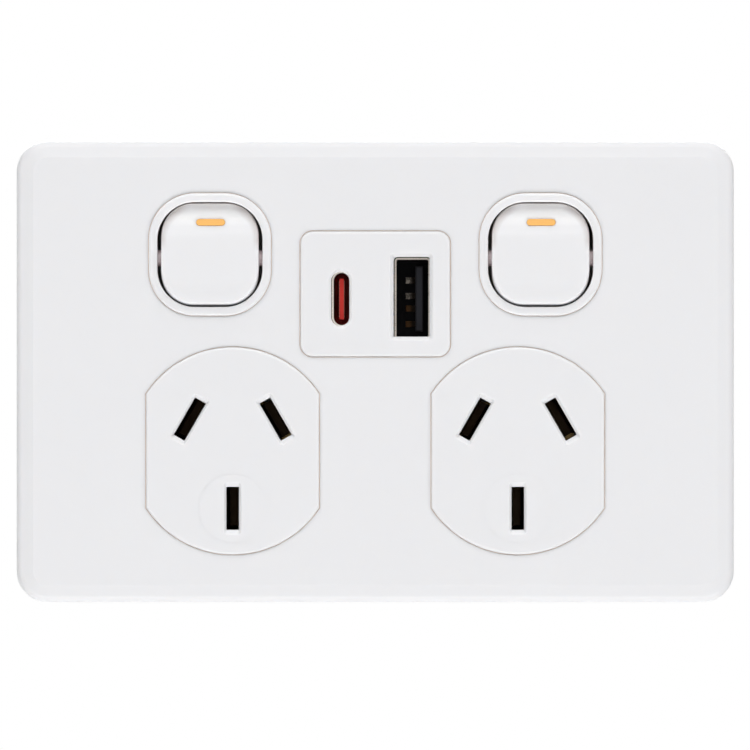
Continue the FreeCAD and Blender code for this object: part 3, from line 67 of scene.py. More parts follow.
def noise(tree, place, size):
    """Noise whose lumps are about size metres across."""
    lumps = tree.nodes.new("ShaderNodeTexNoise")
    lumps.inputs["Scale"].default_value = 1 / size
    lumps.inputs["Detail"].default_value = noise_detail
    tree.links.new(place, lumps.inputs["Vector"])
    return lumps.outputs["Fac"]


def remap(tree, value, low, high, out_low, out_high):
    """The value's range low to high turned into out_low to out_high."""
    turn = tree.nodes.new("ShaderNodeMapRange")
    for name, number in (
        ("From Min", low), ("From Max", high), ("To Min", out_low), ("To Max", out_high)
    ):
        turn.inputs[name].default_value = number
    tree.links.new(value, turn.inputs["Value"])
    return turn.outputs["Result"]


def ramp(tree, value, start, end):
    """A share that climbs from 0 where the value is start to 1 where it is end."""
    return remap(tree, value, start, end, 0.0, 1.0)


def mix_colours(tree, share, first, second):
    """One colour turning into another as the share goes from 0 to 1; each is a colour or a socket."""
    blend = tree.nodes.new("ShaderNodeMix")
    blend.data_type = "RGBA"
    tree.links.new(share, blend.inputs["Factor"])
    for name, colour in (("A", first), ("B", second)):
        socket = [s for s in blend.inputs if s.name == name and s.type == "RGBA"][0]
        if isinstance(colour, tuple):
            socket.default_value = colour + (1,)
        else:
            tree.links.new(colour, socket)
    return [s for s in blend.outputs if s.type == "RGBA"][0]


def relief(tree, shader, height, depth):
    """A bump of that depth in metres on the shader's normal."""
    bump = tree.nodes.new("ShaderNodeBump")
    bump.inputs["Distance"].default_value = depth
    bump.inputs["Strength"].default_value = 1.0
    tree.links.new(height, bump.inputs["Height"])
    tree.links.new(bump.outputs["Normal"], shader.inputs["Normal"])


def moulded_plastic(name, colour, skin, skin_depth, roughness, shade=0.05, shine=0.5):
    """Moulded plastic: a fine skin, and a faint drift of tone and gloss across the piece."""
    material, tree, shader, place = new_material(name)
    shader.inputs["Specular IOR Level"].default_value = shine
    drift = noise(tree, place, tone_patch)
    dark = tuple(c * (1 - shade) for c in colour)
    tree.links.new(mix_colours(tree, drift, dark, colour), shader.inputs["Base Color"])
    patches = noise(tree, place, gloss_patch)
    gloss = remap(
        tree, patches, noise_low, noise_high, roughness - gloss_swing, roughness + gloss_swing
    )
    tree.links.new(gloss, shader.inputs["Roughness"])
    relief(tree, shader, noise(tree, place, skin), skin_depth)
    return material


def dress(name, material):
    """Gives a CAD node this finish all over."""
    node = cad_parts[name]
    if not node.material_slots:
        node.data.materials.append(None)
    for slot in node.material_slots:
        slot.material = material


grid_plastic = moulded_plastic("grid_plastic", (0.60, 0.60, 0.58), 0.00025, 0.000012, 0.55)
dress("mounting_grid", grid_plastic)

# Rear housing and bay lid: the box that fills the hole in the wall, and the cover of its charger bay.
# White plastic with a coarser matt skin than the front, since nobody sees them once they are fitted.

housing_plastic = moulded_plastic("housing_plastic", (0.74, 0.74, 0.72), 0.0003, 0.000018, 0.5)
dress("rear_housing", housing_plastic)
dress("bay_lid", housing_plastic)

# Ejector marks: the round flats that the mould's pins leave on the back of the housing and the lid.
# They stand a tenth of a millimetre proud, with the sharp edge of the pin.

mark_radius = 0.0019
mark_height = 0.0001
mark_sides = 40
housing_back = 0.0222
housing_mark_x = 0.0325
housing_mark_z = 0.0205
lid_back = 0.0300
lid_mark_x = 0.0105
lid_mark_levels = (0.0025, 0.0220)


def finish_piece(shape, name, material):
    """Turns a bmesh into an object with its material."""
    bmesh.ops.recalc_face_normals(shape, faces=shape.faces)
    mesh = bpy.data.meshes.new(name)
    shape.to_mesh(mesh)
    shape.free()
    piece = bpy.data.objects.new(name, mesh)
    bpy.context.scene.collection.objects.link(piece)
    piece.data.materials.append(material)
    return piece


def set_on_back(shape, x, y, z):
    """Turns the top of a shape to the back of the object, and moves the shape to its place."""
    turn = Matrix.Rotation(math.radians(-90), 3, "X")
    bmesh.ops.rotate(shape, cent=(0, 0, 0), matrix=turn, verts=shape.verts)
    bmesh.ops.translate(shape, vec=(x, y, z), verts=shape.verts)


mark_places = []
for x in (-housing_mark_x, housing_mark_x):
    for z in (-housing_mark_z, housing_mark_z):
        mark_places.append((x, housing_back, z))
for x in (-lid_mark_x, lid_mark_x):
    for z in lid_mark_levels:
        mark_places.append((x, lid_back, z))
for i, (x, back, z) in enumerate(mark_places):
    shape = bmesh.new()
    bmesh.ops.create_circle(shape, cap_ends=True, segments=mark_sides, radius=mark_radius)
    grown = bmesh.ops.extrude_face_region(shape, geom=shape.faces[:])
    far = [v for v in grown["geom"] if isinstance(v, bmesh.types.BMVert)]
    bmesh.ops.translate(shape, vec=(0, 0, -2 * mark_height), verts=far)
    set_on_back(shape, x, back + mark_height, z)
    mark = finish_piece(shape, "ejector_mark_%d" % (i + 1), housing_plastic)
    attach(mark, "base")

# Screws: two hold the housing to the grid, and one in each terminal clamps its conductor.
# Cold-headed steel, zinc plated, with turning marks round each shank.

stain_patch = 0.004
stain_low = 0.35
stain_high = 0.75
polish_gain = 0.06
polish_loss = 0.08
metal_relief = 0.000004


def sheet_metal(name, colour, roughness, grain, stretch, stain=0.12):
    """Rolled or drawn metal: fine marks drawn out along one axis, and a slight cloudy stain."""
    material, tree, shader, place = new_material(name)
    shader.inputs["Metallic"].default_value = 1.0
    marks = tree.nodes.new("ShaderNodeMapping")
    marks.inputs["Scale"].default_value = stretch
    tree.links.new(place, marks.inputs["Vector"])
    lines = noise(tree, marks.outputs["Vector"], grain)
    cloud = ramp(tree, noise(tree, place, stain_patch), stain_low, stain_high)
    dull = tuple(c * (1 - stain) for c in colour)
    tree.links.new(mix_colours(tree, cloud, colour, dull), shader.inputs["Base Color"])
    gloss = remap(
        tree, lines, noise_low, noise_high, roughness - polish_gain, roughness + polish_loss
    )
    tree.links.new(gloss, shader.inputs["Roughness"])
    relief(tree, shader, lines, metal_relief)
    return material


zinc_plate = sheet_metal("zinc_plate", (0.66, 0.67, 0.68), 0.32, 0.0004, (1, 8, 1))
dress("housing_screws", zinc_plate)
dress("terminal_screws", zinc_plate)

# Terminals: four blocks cut from brass bar, each with a tunnel for the conductor and a screw hole.
# They keep the bright face of the cutter, with fine lines along the block.

terminal_brass = sheet_metal("terminal_brass", (0.80, 0.58, 0.26), 0.26, 0.0003, (1, 1, 12))
for terminal in ("loop", "active", "neutral", "earth"):
    dress(terminal + "_terminal", terminal_brass)

# Bars and straps: stamped from rolled brass strip.
# The strip is a little duller than the terminals, with its rolling marks along X.

strip_brass = sheet_metal(
    "strip_brass", (0.72, 0.50, 0.22), 0.34, 0.0003, (1, 12, 12), stain=0.2
)
for bar in ("supply_bar", "neutral_bar", "earth_bar"):
    dress(bar, strip_brass)
for side in ("left", "right"):
    dress(side + "_load_strap", strip_brass)

# Pin contacts: folded from phosphor bronze, three behind each socket face.
# Their bronze is painted very dark and brown: painted shade, so that the pin slots read dark.

shade_dark_bronze = sheet_metal(
    "shade_dark_bronze", (0.13, 0.085, 0.055), 0.5, 0.0003, (12, 12, 1), stain=0.3
)
for side in ("left", "right"):
    for pin in ("active", "neutral", "earth"):
        dress(side + "_" + pin + "_contact", shade_dark_bronze)

# See-saw contacts: silver-faced arms that the switches rock between a stop and the fixed contact.
# Pale, with a slight yellow tarnish in patches.

contact_silver = sheet_metal(
    "contact_silver", (0.78, 0.76, 0.71), 0.22, 0.0004, (10, 1, 1), stain=0.18
)
for side in ("left", "right"):
    dress(side + "_see_saw", contact_silver)

# Plungers: natural nylon pins, which springs push out of the rocker legs.
# The nylon is a little yellow and slightly glossy.

nylon = moulded_plastic("nylon", (0.68, 0.66, 0.58), 0.0004, 0.000008, 0.42, shade=0.1)
for side in ("left", "right"):
    dress(side + "_plunger", nylon)

# Plunger springs: drawn steel wire wound in a coil, from the bottom of each leg's bore to its plunger.

pivot_x = 0.02645
pivot_y = -0.008
pivot_z = 0.01812
rest_tilt = math.radians(-6)
wire_radius = 0.0002
wire_sides = 10
coil_radius = 0.00115
coil_seat = 0.0010
coil_length = 0.0050
coil_turns = 5
turn_steps = 24
spring_wire = sheet_metal("spring_wire", (0.48, 0.48, 0.49), 0.3, 0.0002, (1, 1, 1))

for side, turn in (("left", -1), ("right", 1)):
    pivot = Vector((turn * pivot_x, pivot_y, pivot_z))
    shape = bmesh.new()
    bmesh.ops.create_circle(shape, cap_ends=False, segments=wire_sides, radius=wire_radius)
    bmesh.ops.translate(shape, vec=(coil_radius, coil_seat + wire_radius, 0), verts=shape.verts)
    steps = coil_turns * turn_steps
    rise = (coil_length - 2 * wire_radius) / steps
    bmesh.ops.spin(
        shape, geom=shape.verts[:] + shape.edges[:], cent=(0, 0, 0), axis=(0, 1, 0),
        dvec=(0, rise, 0), angle=2 * math.pi * coil_turns, steps=steps, use_duplicate=False,
    )
    bmesh.ops.holes_fill(shape, edges=[e for e in shape.edges if e.is_boundary], sides=0)
    for face in shape.faces:
        face.smooth = len(face.verts) == 4
    lean = Matrix.Rotation(rest_tilt, 3, "X")
    bmesh.ops.rotate(shape, cent=(0, 0, 0), matrix=lean, verts=shape.verts)
    bmesh.ops.translate(shape, vec=pivot, verts=shape.verts)
    coil = finish_piece(shape, side + "_coil", spring_wire)
    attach(coil, side + "_switch")
    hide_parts(side + "_plunger_spring")
    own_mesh(coil)

# Cover plate: the snap-on front, moulded in white with a satin skin.
# Where its openings meet the pieces inside them, the walls of each seam are out of the light and hold dust:
# their warm tint is dust and painted shade.

front_white = (0.84, 0.84, 0.854)
white_drift = 0.015
white_tone_patch = 0.02
white_gloss_patch = 0.005
white_gloss_low = 0.36
white_gloss_high = 0.42
white_shine = 0.36
white_skin = 0.00022
white_skin_depth = 0.000004
bleed_radius = (1.0, 0.97, 0.94)
bleed_scale = 0.0006
openings_reach_x = 0.050
openings_reach_z = 0.0335
seam_start = -0.0095
seam_full = -0.0092
seam_dust_and_shade = (0.90, 0.80, 0.73)


def calculate(tree, operation, first, second=0.0):
    """A maths node on two numbers or sockets."""
    node = tree.nodes.new("ShaderNodeMath")
    node.operation = operation
    for i, value in enumerate((first, second)):
        if isinstance(value, (int, float)):
            node.inputs[i].default_value = value
        else:
            tree.links.new(value, node.inputs[i])
    return node.outputs["Value"]


def distance_along(tree, value, place):
    """How far a value is from a place, on either side of it."""
    return calculate(tree, "ABSOLUTE", calculate(tree, "SUBTRACT", value, place))


def offset_from(tree, axes, x, z):
    """How far a point is from x, on whichever side of the object, and from z."""
    across = distance_along(tree, calculate(tree, "ABSOLUTE", axes["X"]), x)
    return across, distance_along(tree, axes["Z"], z)


def corner_reach(tree, across, along, straight_x, straight_z):
    """The distance out from a rounded square's straight core: its corner radius, on its outline."""
    squares = []
    for offset, straight in ((across, straight_x), (along, straight_z)):
        past = calculate(tree, "MAXIMUM", calculate(tree, "SUBTRACT", offset, straight), 0.0)
        squares.append(calculate(tree, "MULTIPLY", past, past))
    return calculate(tree, "SQRT", calculate(tree, "ADD", squares[0], squares[1]))


def split_axes(tree, place):
    """The X, Y and Z of the Object coordinates."""
    axes = tree.nodes.new("ShaderNodeSeparateXYZ")
    tree.links.new(place, axes.inputs["Vector"])
    return axes.outputs


def satin_white(name, colour):
    """The white of the front, which lets a little light bleed through its skin.
    It gives back its parts, so that dust and shadow can be laid on.
    """
    material, tree, shader, place = new_material(name)
    drift = noise(tree, place, white_tone_patch)
    pale = mix_colours(tree, drift, tuple(c * (1 - white_drift) for c in colour), colour)
    patches = noise(tree, place, white_gloss_patch)
    gloss = remap(tree, patches, noise_low, noise_high, white_gloss_low, white_gloss_high)
    tree.links.new(gloss, shader.inputs["Roughness"])
    relief(tree, shader, noise(tree, place, white_skin), white_skin_depth)
    shader.inputs["Specular IOR Level"].default_value = white_shine
    shader.inputs["Subsurface Weight"].default_value = 1.0
    shader.inputs["Subsurface Radius"].default_value = bleed_radius
    shader.inputs["Subsurface Scale"].default_value = bleed_scale
    return material, tree, shader, split_axes(tree, place), pale


def dust_and_shade_seam(tree, axes, pale, wall):
    """The pale skin, with a warm tint of dust and painted shade on its seam walls: wall is 1 there and 0
    elsewhere.
    """
    below = ramp(tree, axes["Y"], seam_start, seam_full)
    return mix_colours(tree, calculate(tree, "MULTIPLY", below, wall), pale, seam_dust_and_shade)


cover_white, tree, shader, axes, pale = satin_white("cover_white", front_white)
across, along = offset_from(tree, axes, 0.0, 0.0)
within_x = calculate(tree, "LESS_THAN", across, openings_reach_x)
within_z = calculate(tree, "LESS_THAN", along, openings_reach_z)
wall = calculate(tree, "MULTIPLY", within_x, within_z)
tree.links.new(dust_and_shade_seam(tree, axes, pale, wall), shader.inputs["Base Color"])
dress("cover_plate", cover_white)

# Socket faces: discs with two flats, moulded from the same batch as the cover.
# Dust and painted shade lie along their edge, and below the lead-ins their pin slots are painted dark
# brown: painted shade.

socket_x = 0.02282
socket_z = -0.012705
socket_radius = 0.016615
socket_flat = 0.01387
edge_band = 0.0003
slot_start = -0.00925
slot_full = -0.0089
shadow_brown = (0.055, 0.044, 0.038)
socket_white, tree, shader, axes, pale = satin_white("socket_white", front_white)
across, along = offset_from(tree, axes, socket_x, socket_z)
radius = corner_reach(tree, across, along, 0.0, 0.0)
round_edge = calculate(tree, "GREATER_THAN", radius, socket_radius - edge_band)
flat_edge = calculate(tree, "GREATER_THAN", across, socket_flat - edge_band)
edge = calculate(tree, "MAXIMUM", round_edge, flat_edge)
seam_shaded = dust_and_shade_seam(tree, axes, pale, edge)
middle = calculate(tree, "SUBTRACT", 1.0, edge)
# Painted shade: the slot walls turn dark brown below the lead-ins.
deep = calculate(tree, "MULTIPLY", ramp(tree, axes["Y"], slot_start, slot_full), middle)
tree.links.new(mix_colours(tree, deep, seam_shaded, shadow_brown), shader.inputs["Base Color"])
for side in ("left", "right"):
    dress(side + "_socket_face", socket_white)

# Switch bezels: square rings with round corners that the rockers swing in.
# Their end walls keep the plain white near the front and are painted pale brown below it, as painted shade,
# and their side walls, beside the rockers, are painted dark brown as painted shade, paler where the
# trunnions bear.

switch_x = 0.02645
switch_z = 0.01872
ring_straight = 0.0024
ring_middle = 0.0067
end_start = -0.0088
end_full = -0.0078
side_start = -0.0099
side_full = -0.0096
beside_start = 0.0022
beside_full = 0.0040
end_shade_brown = (0.92, 0.76, 0.66)
gap_shade_brown = (0.42, 0.33, 0.29)
bearing_shade_grey = (0.58, 0.50, 0.51)
bearing_z = 0.01805
bearing_core = 0.0017
bearing_edge = 0.0021


def gap_wall(tree, axes):
    """The painted shade of the two walls beside a rocker, which is paler where its trunnion bears."""
    away = distance_along(tree, axes["Z"], bearing_z)
    bearing = remap(tree, away, bearing_core, bearing_edge, 1.0, 0.0)
    return mix_colours(tree, bearing, gap_shade_brown, bearing_shade_grey)


bezel_white, tree, shader, axes, pale = satin_white("bezel_white", front_white)
across, along = offset_from(tree, axes, switch_x, switch_z)
reach = corner_reach(tree, across, along, ring_straight, ring_straight)
outside = calculate(tree, "GREATER_THAN", reach, ring_middle)
inside = calculate(tree, "SUBTRACT", 1.0, outside)
seam_shaded = dust_and_shade_seam(tree, axes, pale, outside)
# Painted shade: the end walls pale brown below the front, the side walls darker beside the rockers.
end_depth = calculate(tree, "MULTIPLY", ramp(tree, axes["Y"], end_start, end_full), inside)
end_shaded = mix_colours(tree, end_depth, seam_shaded, end_shade_brown)
side_depth = calculate(tree, "MULTIPLY", ramp(tree, axes["Y"], side_start, side_full), inside)
beside = ramp(tree, calculate(tree, "SUBTRACT", across, along), beside_start, beside_full)
deep = calculate(tree, "MULTIPLY", beside, side_depth)
shaded = mix_colours(tree, deep, end_shaded, gap_wall(tree, axes))
tree.links.new(shaded, shader.inputs["Base Color"])
for side in ("left", "right"):
    dress(side + "_switch_bezel", bezel_white)

# USB panel: a flat plate with the mouths of the two ports, in the same white.
# Dust and painted shade lie along its edge.

panel_z = 0.01240
panel_straight_x = 0.01002
panel_straight_z = 0.00806
panel_edge = 0.0015
panel_white, tree, shader, axes, pale = satin_white("panel_white", front_white)
across, along = offset_from(tree, axes, 0.0, panel_z)
reach = corner_reach(tree, across, along, panel_straight_x, panel_straight_z)
edge = calculate(tree, "GREATER_THAN", reach, panel_edge)
tree.links.new(dust_and_shade_seam(tree, axes, pale, edge), shader.inputs["Base Color"])
dress("usb_panel", panel_white)

# Rockers: white keys with three facets, each with a bar of orange plastic let into its upper facet.
# Their flanks and trunnions are painted with the shade of the gap, and their ends pale brown below the
# front, as painted shade; the rounded upper corners carry a painted brown shade, and the upper end is
# painted paler, as painted light against the shadow of the bezel.

key_white = (0.85, 0.85, 0.864)
key_half = 0.0077
flank_blend = 0.0002
low_start = -0.0080
low_full = -0.0068
key_straight = 0.0024
key_edge = 0.0055
rim_band = 0.0011
rim_start_z = switch_z + 0.0005
rim_full_z = switch_z + 0.0022
rim_strength = 0.42
rim_start_x = 0.0030
rim_full_x = 0.0050
rim_shade_brown = (0.36, 0.28, 0.24)
end_start_z = switch_z + 0.0045
end_full_z = switch_z + 0.0060
end_light_white = (0.96, 0.955, 0.965)
rocker_white, tree, shader, axes, pale = satin_white("rocker_white", key_white)
across, along = offset_from(tree, axes, switch_x, switch_z)
# The upper end is painted paler: painted light against the shadow of the bezel.
top_end = ramp(tree, axes["Z"], end_start_z, end_full_z)
pale = mix_colours(tree, top_end, pale, end_light_white)
# A painted brown shade on the rounded upper corners.
reach = corner_reach(tree, across, along, key_straight, key_straight)
rim = ramp(tree, reach, key_edge - rim_band, key_edge)
upper = remap(tree, axes["Z"], rim_start_z, rim_full_z, 0.0, rim_strength)
beside = ramp(tree, across, rim_start_x, rim_full_x)
rim = calculate(tree, "MULTIPLY", calculate(tree, "MULTIPLY", rim, upper), beside)
pale = mix_colours(tree, rim, pale, rim_shade_brown)
# The ends below the front are painted pale brown, and the flanks take the gap's painted shade.
shade = mix_colours(tree, ramp(tree, axes["Y"], low_start, low_full), pale, end_shade_brown)
flank = ramp(tree, across, key_half, key_half + flank_blend)
shaded = mix_colours(tree, flank, shade, gap_wall(tree, axes))
tree.links.new(shaded, shader.inputs["Base Color"])
indicator_orange = moulded_plastic(
    "indicator_orange", (0.90, 0.462, 0.095), 0.0003, 0.000004, 0.4, shade=0.03
)
for side in ("left", "right"):
    dress(side + "_rocker", rocker_white)
    dress(side + "_indicator", indicator_orange)

# Seam shade ribbons: a pale brown sheet in the gap between the cover and each piece that shows through it,
# painted shade that gives each seam its brown tone.
# Each is a ribbon as wide as the gap, which lies just below the face of the cover.

gap_width = 0.0001
ribbon_top = -0.00956
ribbon_depth = 0.0001
corner_steps = 18
disc_sides = 160
panel_width = 0.02403
panel_height = 0.02012
panel_corner = 0.0020
bezel_size = 0.0196
bezel_corner = 0.0074
seam_shade_patch = 0.003
seam_shade_low = 0.35
seam_shade_high = 0.65
seam_shade_pale = (0.76, 0.63, 0.55)
seam_shade_dark = (0.68, 0.54, 0.46)
seam_shade_brown, tree, shader, place = new_material("seam_shade_brown")
shader.inputs["Roughness"].default_value = 1.0
shader.inputs["Specular IOR Level"].default_value = 0.1
patches = ramp(tree, noise(tree, place, seam_shade_patch), seam_shade_low, seam_shade_high)
tree.links.new(mix_colours(tree, patches, seam_shade_pale, seam_shade_dark), shader.inputs["Base Color"])


def rounded_outline(width, height, corner):
    """A flat face with round corners, drawn in X and Y."""
    shape = bmesh.new()
    bmesh.ops.create_grid(shape, x_segments=1, y_segments=1, size=0.5)
    bmesh.ops.scale(shape, vec=(width, height, 1), verts=shape.verts)
    bmesh.ops.bevel(
        shape, geom=shape.verts[:], offset=corner, offset_type="OFFSET", segments=corner_steps,
        profile=0.5, affect="VERTICES", material=-1,
    )
    return shape


def disc_outline(radius, flat):
    """A flat disc whose two sides are cut straight."""
    shape = bmesh.new()
    bmesh.ops.create_circle(shape, cap_ends=True, segments=disc_sides, radius=radius)
    for turn in (-1, 1):
        bmesh.ops.bisect_plane(
            shape, geom=shape.verts[:] + shape.edges[:] + shape.faces[:],
            plane_co=(turn * flat, 0, 0), plane_no=(turn, 0, 0), clear_outer=True,
        )
    return shape


def seam_shade_ribbon(name, shape, x, z):
    """A ribbon inside the outline, stood up to face the room."""
    middle = shape.faces[:]
    bmesh.ops.inset_region(
        shape, faces=middle, thickness=gap_width, use_boundary=True, use_even_offset=True
    )
    bmesh.ops.delete(shape, geom=middle, context="FACES")
    grown = bmesh.ops.extrude_face_region(shape, geom=shape.faces[:])
    back = [v for v in grown["geom"] if isinstance(v, bmesh.types.BMVert)]
    bmesh.ops.translate(shape, vec=(0, 0, -ribbon_depth), verts=back)
    upright = Matrix.Rotation(math.radians(90), 3, "X")
    bmesh.ops.rotate(shape, cent=(0, 0, 0), matrix=upright, verts=shape.verts)
    bmesh.ops.translate(shape, vec=(x, ribbon_top, z), verts=shape.verts)
    piece = finish_piece(shape, name, seam_shade_brown)
    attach(piece, "base")


both_gaps = 2 * gap_width
for side, turn in (("left", -1), ("right", 1)):
    outer = bezel_size + both_gaps
    bezel_gap = rounded_outline(outer, outer, bezel_corner + gap_width)
    seam_shade_ribbon(side + "_bezel_seam_shade", bezel_gap, turn * switch_x, switch_z)
    face_gap = disc_outline(socket_radius + gap_width, socket_flat + gap_width)
    seam_shade_ribbon(side + "_face_seam_shade", face_gap, turn * socket_x, socket_z)
panel_gap = rounded_outline(
    panel_width + both_gaps, panel_height + both_gaps, panel_corner + gap_width
)
seam_shade_ribbon("panel_seam_shade", panel_gap, 0, panel_z)

# USB-C port: a drawn steel shell, nickel plated, round a red plastic tongue with fine plated strips.
# The same plating is on the pins that link the charger's two boards.

nickel = sheet_metal("nickel", (0.66, 0.61, 0.55), 0.24, 0.0004, (1, 6, 1), stain=0.15)
port_red = moulded_plastic(
    "port_red", (0.62, 0.040, 0.034), 0.0003, 0.000006, 0.45, shade=0.2, shine=0.15
)
contact_plate = sheet_metal(
    "contact_plate", (0.45, 0.38, 0.30), 0.2, 0.0003, (1, 8, 1), stain=0.3
)
dress("usb_c_shell", nickel)
dress("usb_c_tongue", port_red)
dress("usb_c_contacts", contact_plate)

# USB-A port: a larger nickel-plated shell, a black insulator whose tongue stands near the right side,
# and four sprung strips along the tongue. The strips are painted near black as painted shade; the two upper
# ones have a painted highlight on their crests, and the two lower ones have crests painted a dull brown.

port_black = moulded_plastic(
    "port_black", (0.014, 0.0145, 0.018), 0.0003, 0.000008, 0.5, shade=0.3, shine=0.12
)
# The shell's nickel is painted darker than the port's other nickel: painted shade.
shade_dark_nickel = sheet_metal(
    "shade_dark_nickel", (0.46, 0.42, 0.375), 0.3, 0.0004, (1, 6, 1), stain=0.25
)
dress("usb_a_shell", shade_dark_nickel)
dress("usb_a_insulator", port_black)

crest_start = 0.0054
crest_end = 0.0060
highlight_from_z = 0.0110
speckle_size = 0.0004
speckle_low = 0.4
speckle_high = 0.6
speckle_floor = 0.35
spring_shade_dark = (0.035, 0.03, 0.026)
crest_dull_brown = (0.30, 0.20, 0.12)
crest_highlight_white = (0.95, 0.94, 0.92)
spring_crest, tree, shader, place = new_material("spring_crest")
shader.inputs["Metallic"].default_value = 1.0
shader.inputs["Roughness"].default_value = 0.22
axes = split_axes(tree, place)
upper = calculate(tree, "GREATER_THAN", axes["Z"], highlight_from_z)
lower = calculate(tree, "SUBTRACT", 1.0, upper)
crest = remap(tree, axes["X"], crest_start, crest_end, 1.0, 0.0)
speckle = noise(tree, place, speckle_size)
speckle = remap(tree, speckle, speckle_low, speckle_high, speckle_floor, 1.0)
# Painted highlight on the upper crests, painted dull brown on the lower ones, painted shade elsewhere.
highlight = calculate(tree, "MULTIPLY", calculate(tree, "MULTIPLY", upper, crest), speckle)
lower_crest = calculate(tree, "MULTIPLY", lower, crest)
tone = mix_colours(tree, lower_crest, spring_shade_dark, crest_dull_brown)
tree.links.new(mix_colours(tree, highlight, tone, crest_highlight_white), shader.inputs["Base Color"])
dress("usb_a_contacts", spring_crest)

# Charger boards: green lacquer over glass cloth, and the pins that link the two.
# The weave shows faintly, and the lacquer is paler along the copper tracks.

track_size = 0.004
track_start = 0.42
track_end = 0.46
weave_size = 0.002
weave_relief = 0.000008
board_roughness = 0.3


def circuit_board(name, lacquer, copper_under):
    """A lacquered board: the cloth's weave as relief, and paler lacquer where copper lies under it."""
    material, tree, shader, place = new_material(name)
    cells = tree.nodes.new("ShaderNodeTexVoronoi")
    cells.distance = "MANHATTAN"
    cells.inputs["Scale"].default_value = 1 / track_size
    tree.links.new(place, cells.inputs["Vector"])
    tracks = ramp(tree, cells.outputs["Distance"], track_start, track_end)
    tree.links.new(mix_colours(tree, tracks, lacquer, copper_under), shader.inputs["Base Color"])
    weave = tree.nodes.new("ShaderNodeTexWave")
    weave.bands_direction = "DIAGONAL"
    weave.inputs["Scale"].default_value = 1 / weave_size
    tree.links.new(place, weave.inputs["Vector"])
    relief(tree, shader, weave.outputs["Fac"], weave_relief)
    shader.inputs["Roughness"].default_value = board_roughness
    return material


board_green = circuit_board("board_green", (0.02, 0.14, 0.06), (0.05, 0.26, 0.10))
dress("port_board", board_green)
dress("power_board", board_green)
dress("board_link_pins", contact_plate)

# Parts on the power board: ferrite core and choke, taped winding, capacitors in shrink sleeve, chips, a
# fuse cap, and the two leads that bring the supply.

ferrite = moulded_plastic("ferrite", (0.05, 0.05, 0.055), 0.0002, 0.00002, 0.5, shade=0.3)
winding_tape = moulded_plastic(
    "winding_tape", (0.70, 0.50, 0.08), 0.0006, 0.00001, 0.32, shade=0.15
)
sleeve_black = moulded_plastic(
    "sleeve_black", (0.02, 0.02, 0.024), 0.0008, 0.00001, 0.3, shade=0.2
)
chip_epoxy = moulded_plastic(
    "chip_epoxy", (0.025, 0.025, 0.025), 0.0002, 0.00001, 0.55, shade=0.3
)
fuse_brown = moulded_plastic("fuse_brown", (0.16, 0.05, 0.02), 0.0004, 0.00001, 0.35, shade=0.2)
lead_red = moulded_plastic("lead_red", (0.45, 0.03, 0.02), 0.0004, 0.000006, 0.45, shade=0.1)
for part in ("transformer_core", "choke"):
    dress(part, ferrite)
dress("transformer_bobbin", winding_tape)
for part in ("mains_capacitor", "output_capacitors"):
    dress(part, sleeve_black)
for part in ("rectifier", "controller_chip", "port_chip"):
    dress(part, chip_epoxy)
dress("fuse", fuse_brown)
dress("usb_supply_leads", lead_red)

# Solder joints: small cones of tin where the leads and pins come through the back of the power board.
# Each has a rounded tip, and its foot is sunk slightly into the board.

board_back = 0.0238
joint_radius = 0.0011
joint_height = 0.0009
joint_sides = 24
joint_tip = 0.3
tip_round = 0.00018
tip_steps = 3
joint_sink = 0.00005
lead_x = 0.0020
lead_z = 0.0008
link_x = 0.0122
link_z = 0.0086
link_pitch = 0.00254
link_count = 4
joint_places = [(-lead_x, lead_z), (lead_x, lead_z)]
joint_places += [(link_x, link_z + i * link_pitch) for i in range(link_count)]
solder_tin = sheet_metal("solder_tin", (0.74, 0.74, 0.75), 0.25, 0.0004, (1, 1, 1))
for i, (x, z) in enumerate(joint_places):
    shape = bmesh.new()
    bmesh.ops.create_cone(
        shape, cap_ends=True, segments=joint_sides, radius1=joint_radius,
        radius2=joint_radius * joint_tip, depth=joint_height,
    )
    tip = [e for e in shape.edges if all(v.co.z > 0 for v in e.verts)]
    bmesh.ops.bevel(
        shape, geom=tip, offset=tip_round, offset_type="OFFSET", segments=tip_steps,
        profile=0.5, affect="EDGES", material=-1,
    )
    for face in shape.faces:
        face.smooth = True
    set_on_back(shape, x, board_back + joint_height / 2 - joint_sink, z)
    joint = finish_piece(shape, "solder_joint_%d" % (i + 1), solder_tin)
    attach(joint, "base")

# Studio: a plain pale floor well below, a white surround, and soft boxes above, below, beside and behind.
# The camera sees the surround and the floor brighter than they light the object.

floor_depth = -1.6
floor_half = 5.0
floor_white = (0.82, 0.82, 0.82)
floor_light = 0.2
floor_shown = 0.62
ambient = 0.19
floor_form = bmesh.new()
bmesh.ops.create_grid(
    floor_form, x_segments=1, y_segments=1, size=floor_half,
    matrix=Matrix.Translation((0, 0, floor_depth)),
)
floor_paint, tree, shader, place = new_material("floor_paint")
shader.inputs["Base Color"].default_value = floor_white + (1,)
shader.inputs["Roughness"].default_value = 0.8
shader.inputs["Emission Color"].default_value = (1, 1, 1, 1)
rays = tree.nodes.new("ShaderNodeLightPath").outputs
glow = remap(tree, rays["Is Camera Ray"], 0.0, 1.0, floor_light, floor_shown)
tree.links.new(glow, shader.inputs["Emission Strength"])
studio_floor = finish_piece(floor_form, "studio_floor", floor_paint)

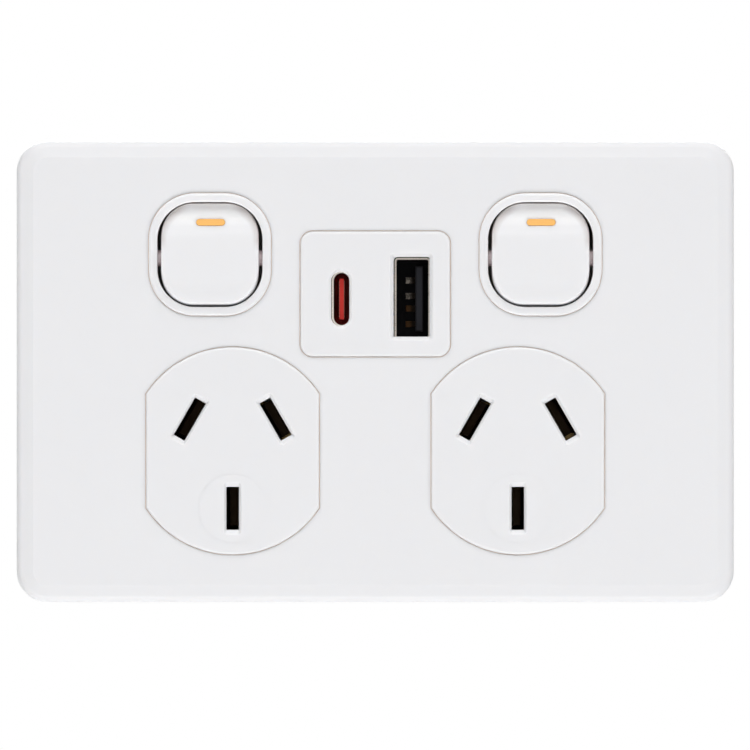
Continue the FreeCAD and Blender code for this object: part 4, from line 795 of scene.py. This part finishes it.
world = bpy.data.worlds.new("studio")
bpy.context.scene.world = world
world.use_nodes = True
sky = world.node_tree
surround = sky.nodes["Background"]
rays = sky.nodes.new("ShaderNodeLightPath").outputs
seen = calculate(sky, "MAXIMUM", rays["Is Camera Ray"], rays["Is Transmission Ray"])
seen = calculate(sky, "MAXIMUM", seen, rays["Is Glossy Ray"])
sky.links.new(remap(sky, seen, 0.0, 1.0, ambient, 1.0), surround.inputs["Strength"])
surround.inputs["Color"].default_value = (1, 1, 1, 1)


def soft_box(name, place, width, height, power):
    """A rectangular lamp at that place, turned to the object."""
    lamp = bpy.data.lights.new(name, "AREA")
    lamp.shape = "RECTANGLE"
    lamp.size = width
    lamp.size_y = height
    lamp.energy = power
    holder = bpy.data.objects.new(name, lamp)
    bpy.context.scene.collection.objects.link(holder)
    holder.location = place
    holder.rotation_mode = "QUATERNION"
    holder.rotation_quaternion = (-Vector(place)).to_track_quat("-Z", "Y")


soft_box("top_box", (0, -0.71, 1.18), 1.6, 1.1, 18.7)
soft_box("bottom_box", (0, -0.5, -0.87), 1.4, 0.4, 7.6)
soft_box("left_box", (-1.25, -0.35, 0.1), 0.6, 1.0, 1.5)
soft_box("right_box", (1.25, -0.35, 0.1), 0.6, 1.0, 2.3)
soft_box("back_box", (0, 1.2, 0.9), 1.4, 0.8, 12)

# Camera: dead in front of the face, at the photograph's framing.
# At the face's distance the frame is 120 mm wide, and the plate's middle stands a little above the frame's.

frame_width = 0.120
frame_x = -0.00004
frame_z = -0.00057
face_y = -0.0096
camera_distance = 1.100
sensor = 36.0
camera_data = bpy.data.cameras.new("camera")
camera_data.sensor_width = sensor
camera_data.lens = sensor * camera_distance / frame_width
camera_data.clip_start = 0.02
camera_data.clip_end = 30
camera = bpy.data.objects.new("camera", camera_data)
bpy.context.scene.collection.objects.link(camera)
camera.location = (frame_x, face_y - camera_distance, frame_z)
camera.rotation_euler = (math.radians(90), 0, 0)
bpy.context.scene.camera = camera
bpy.context.scene.view_settings.view_transform = "Standard"
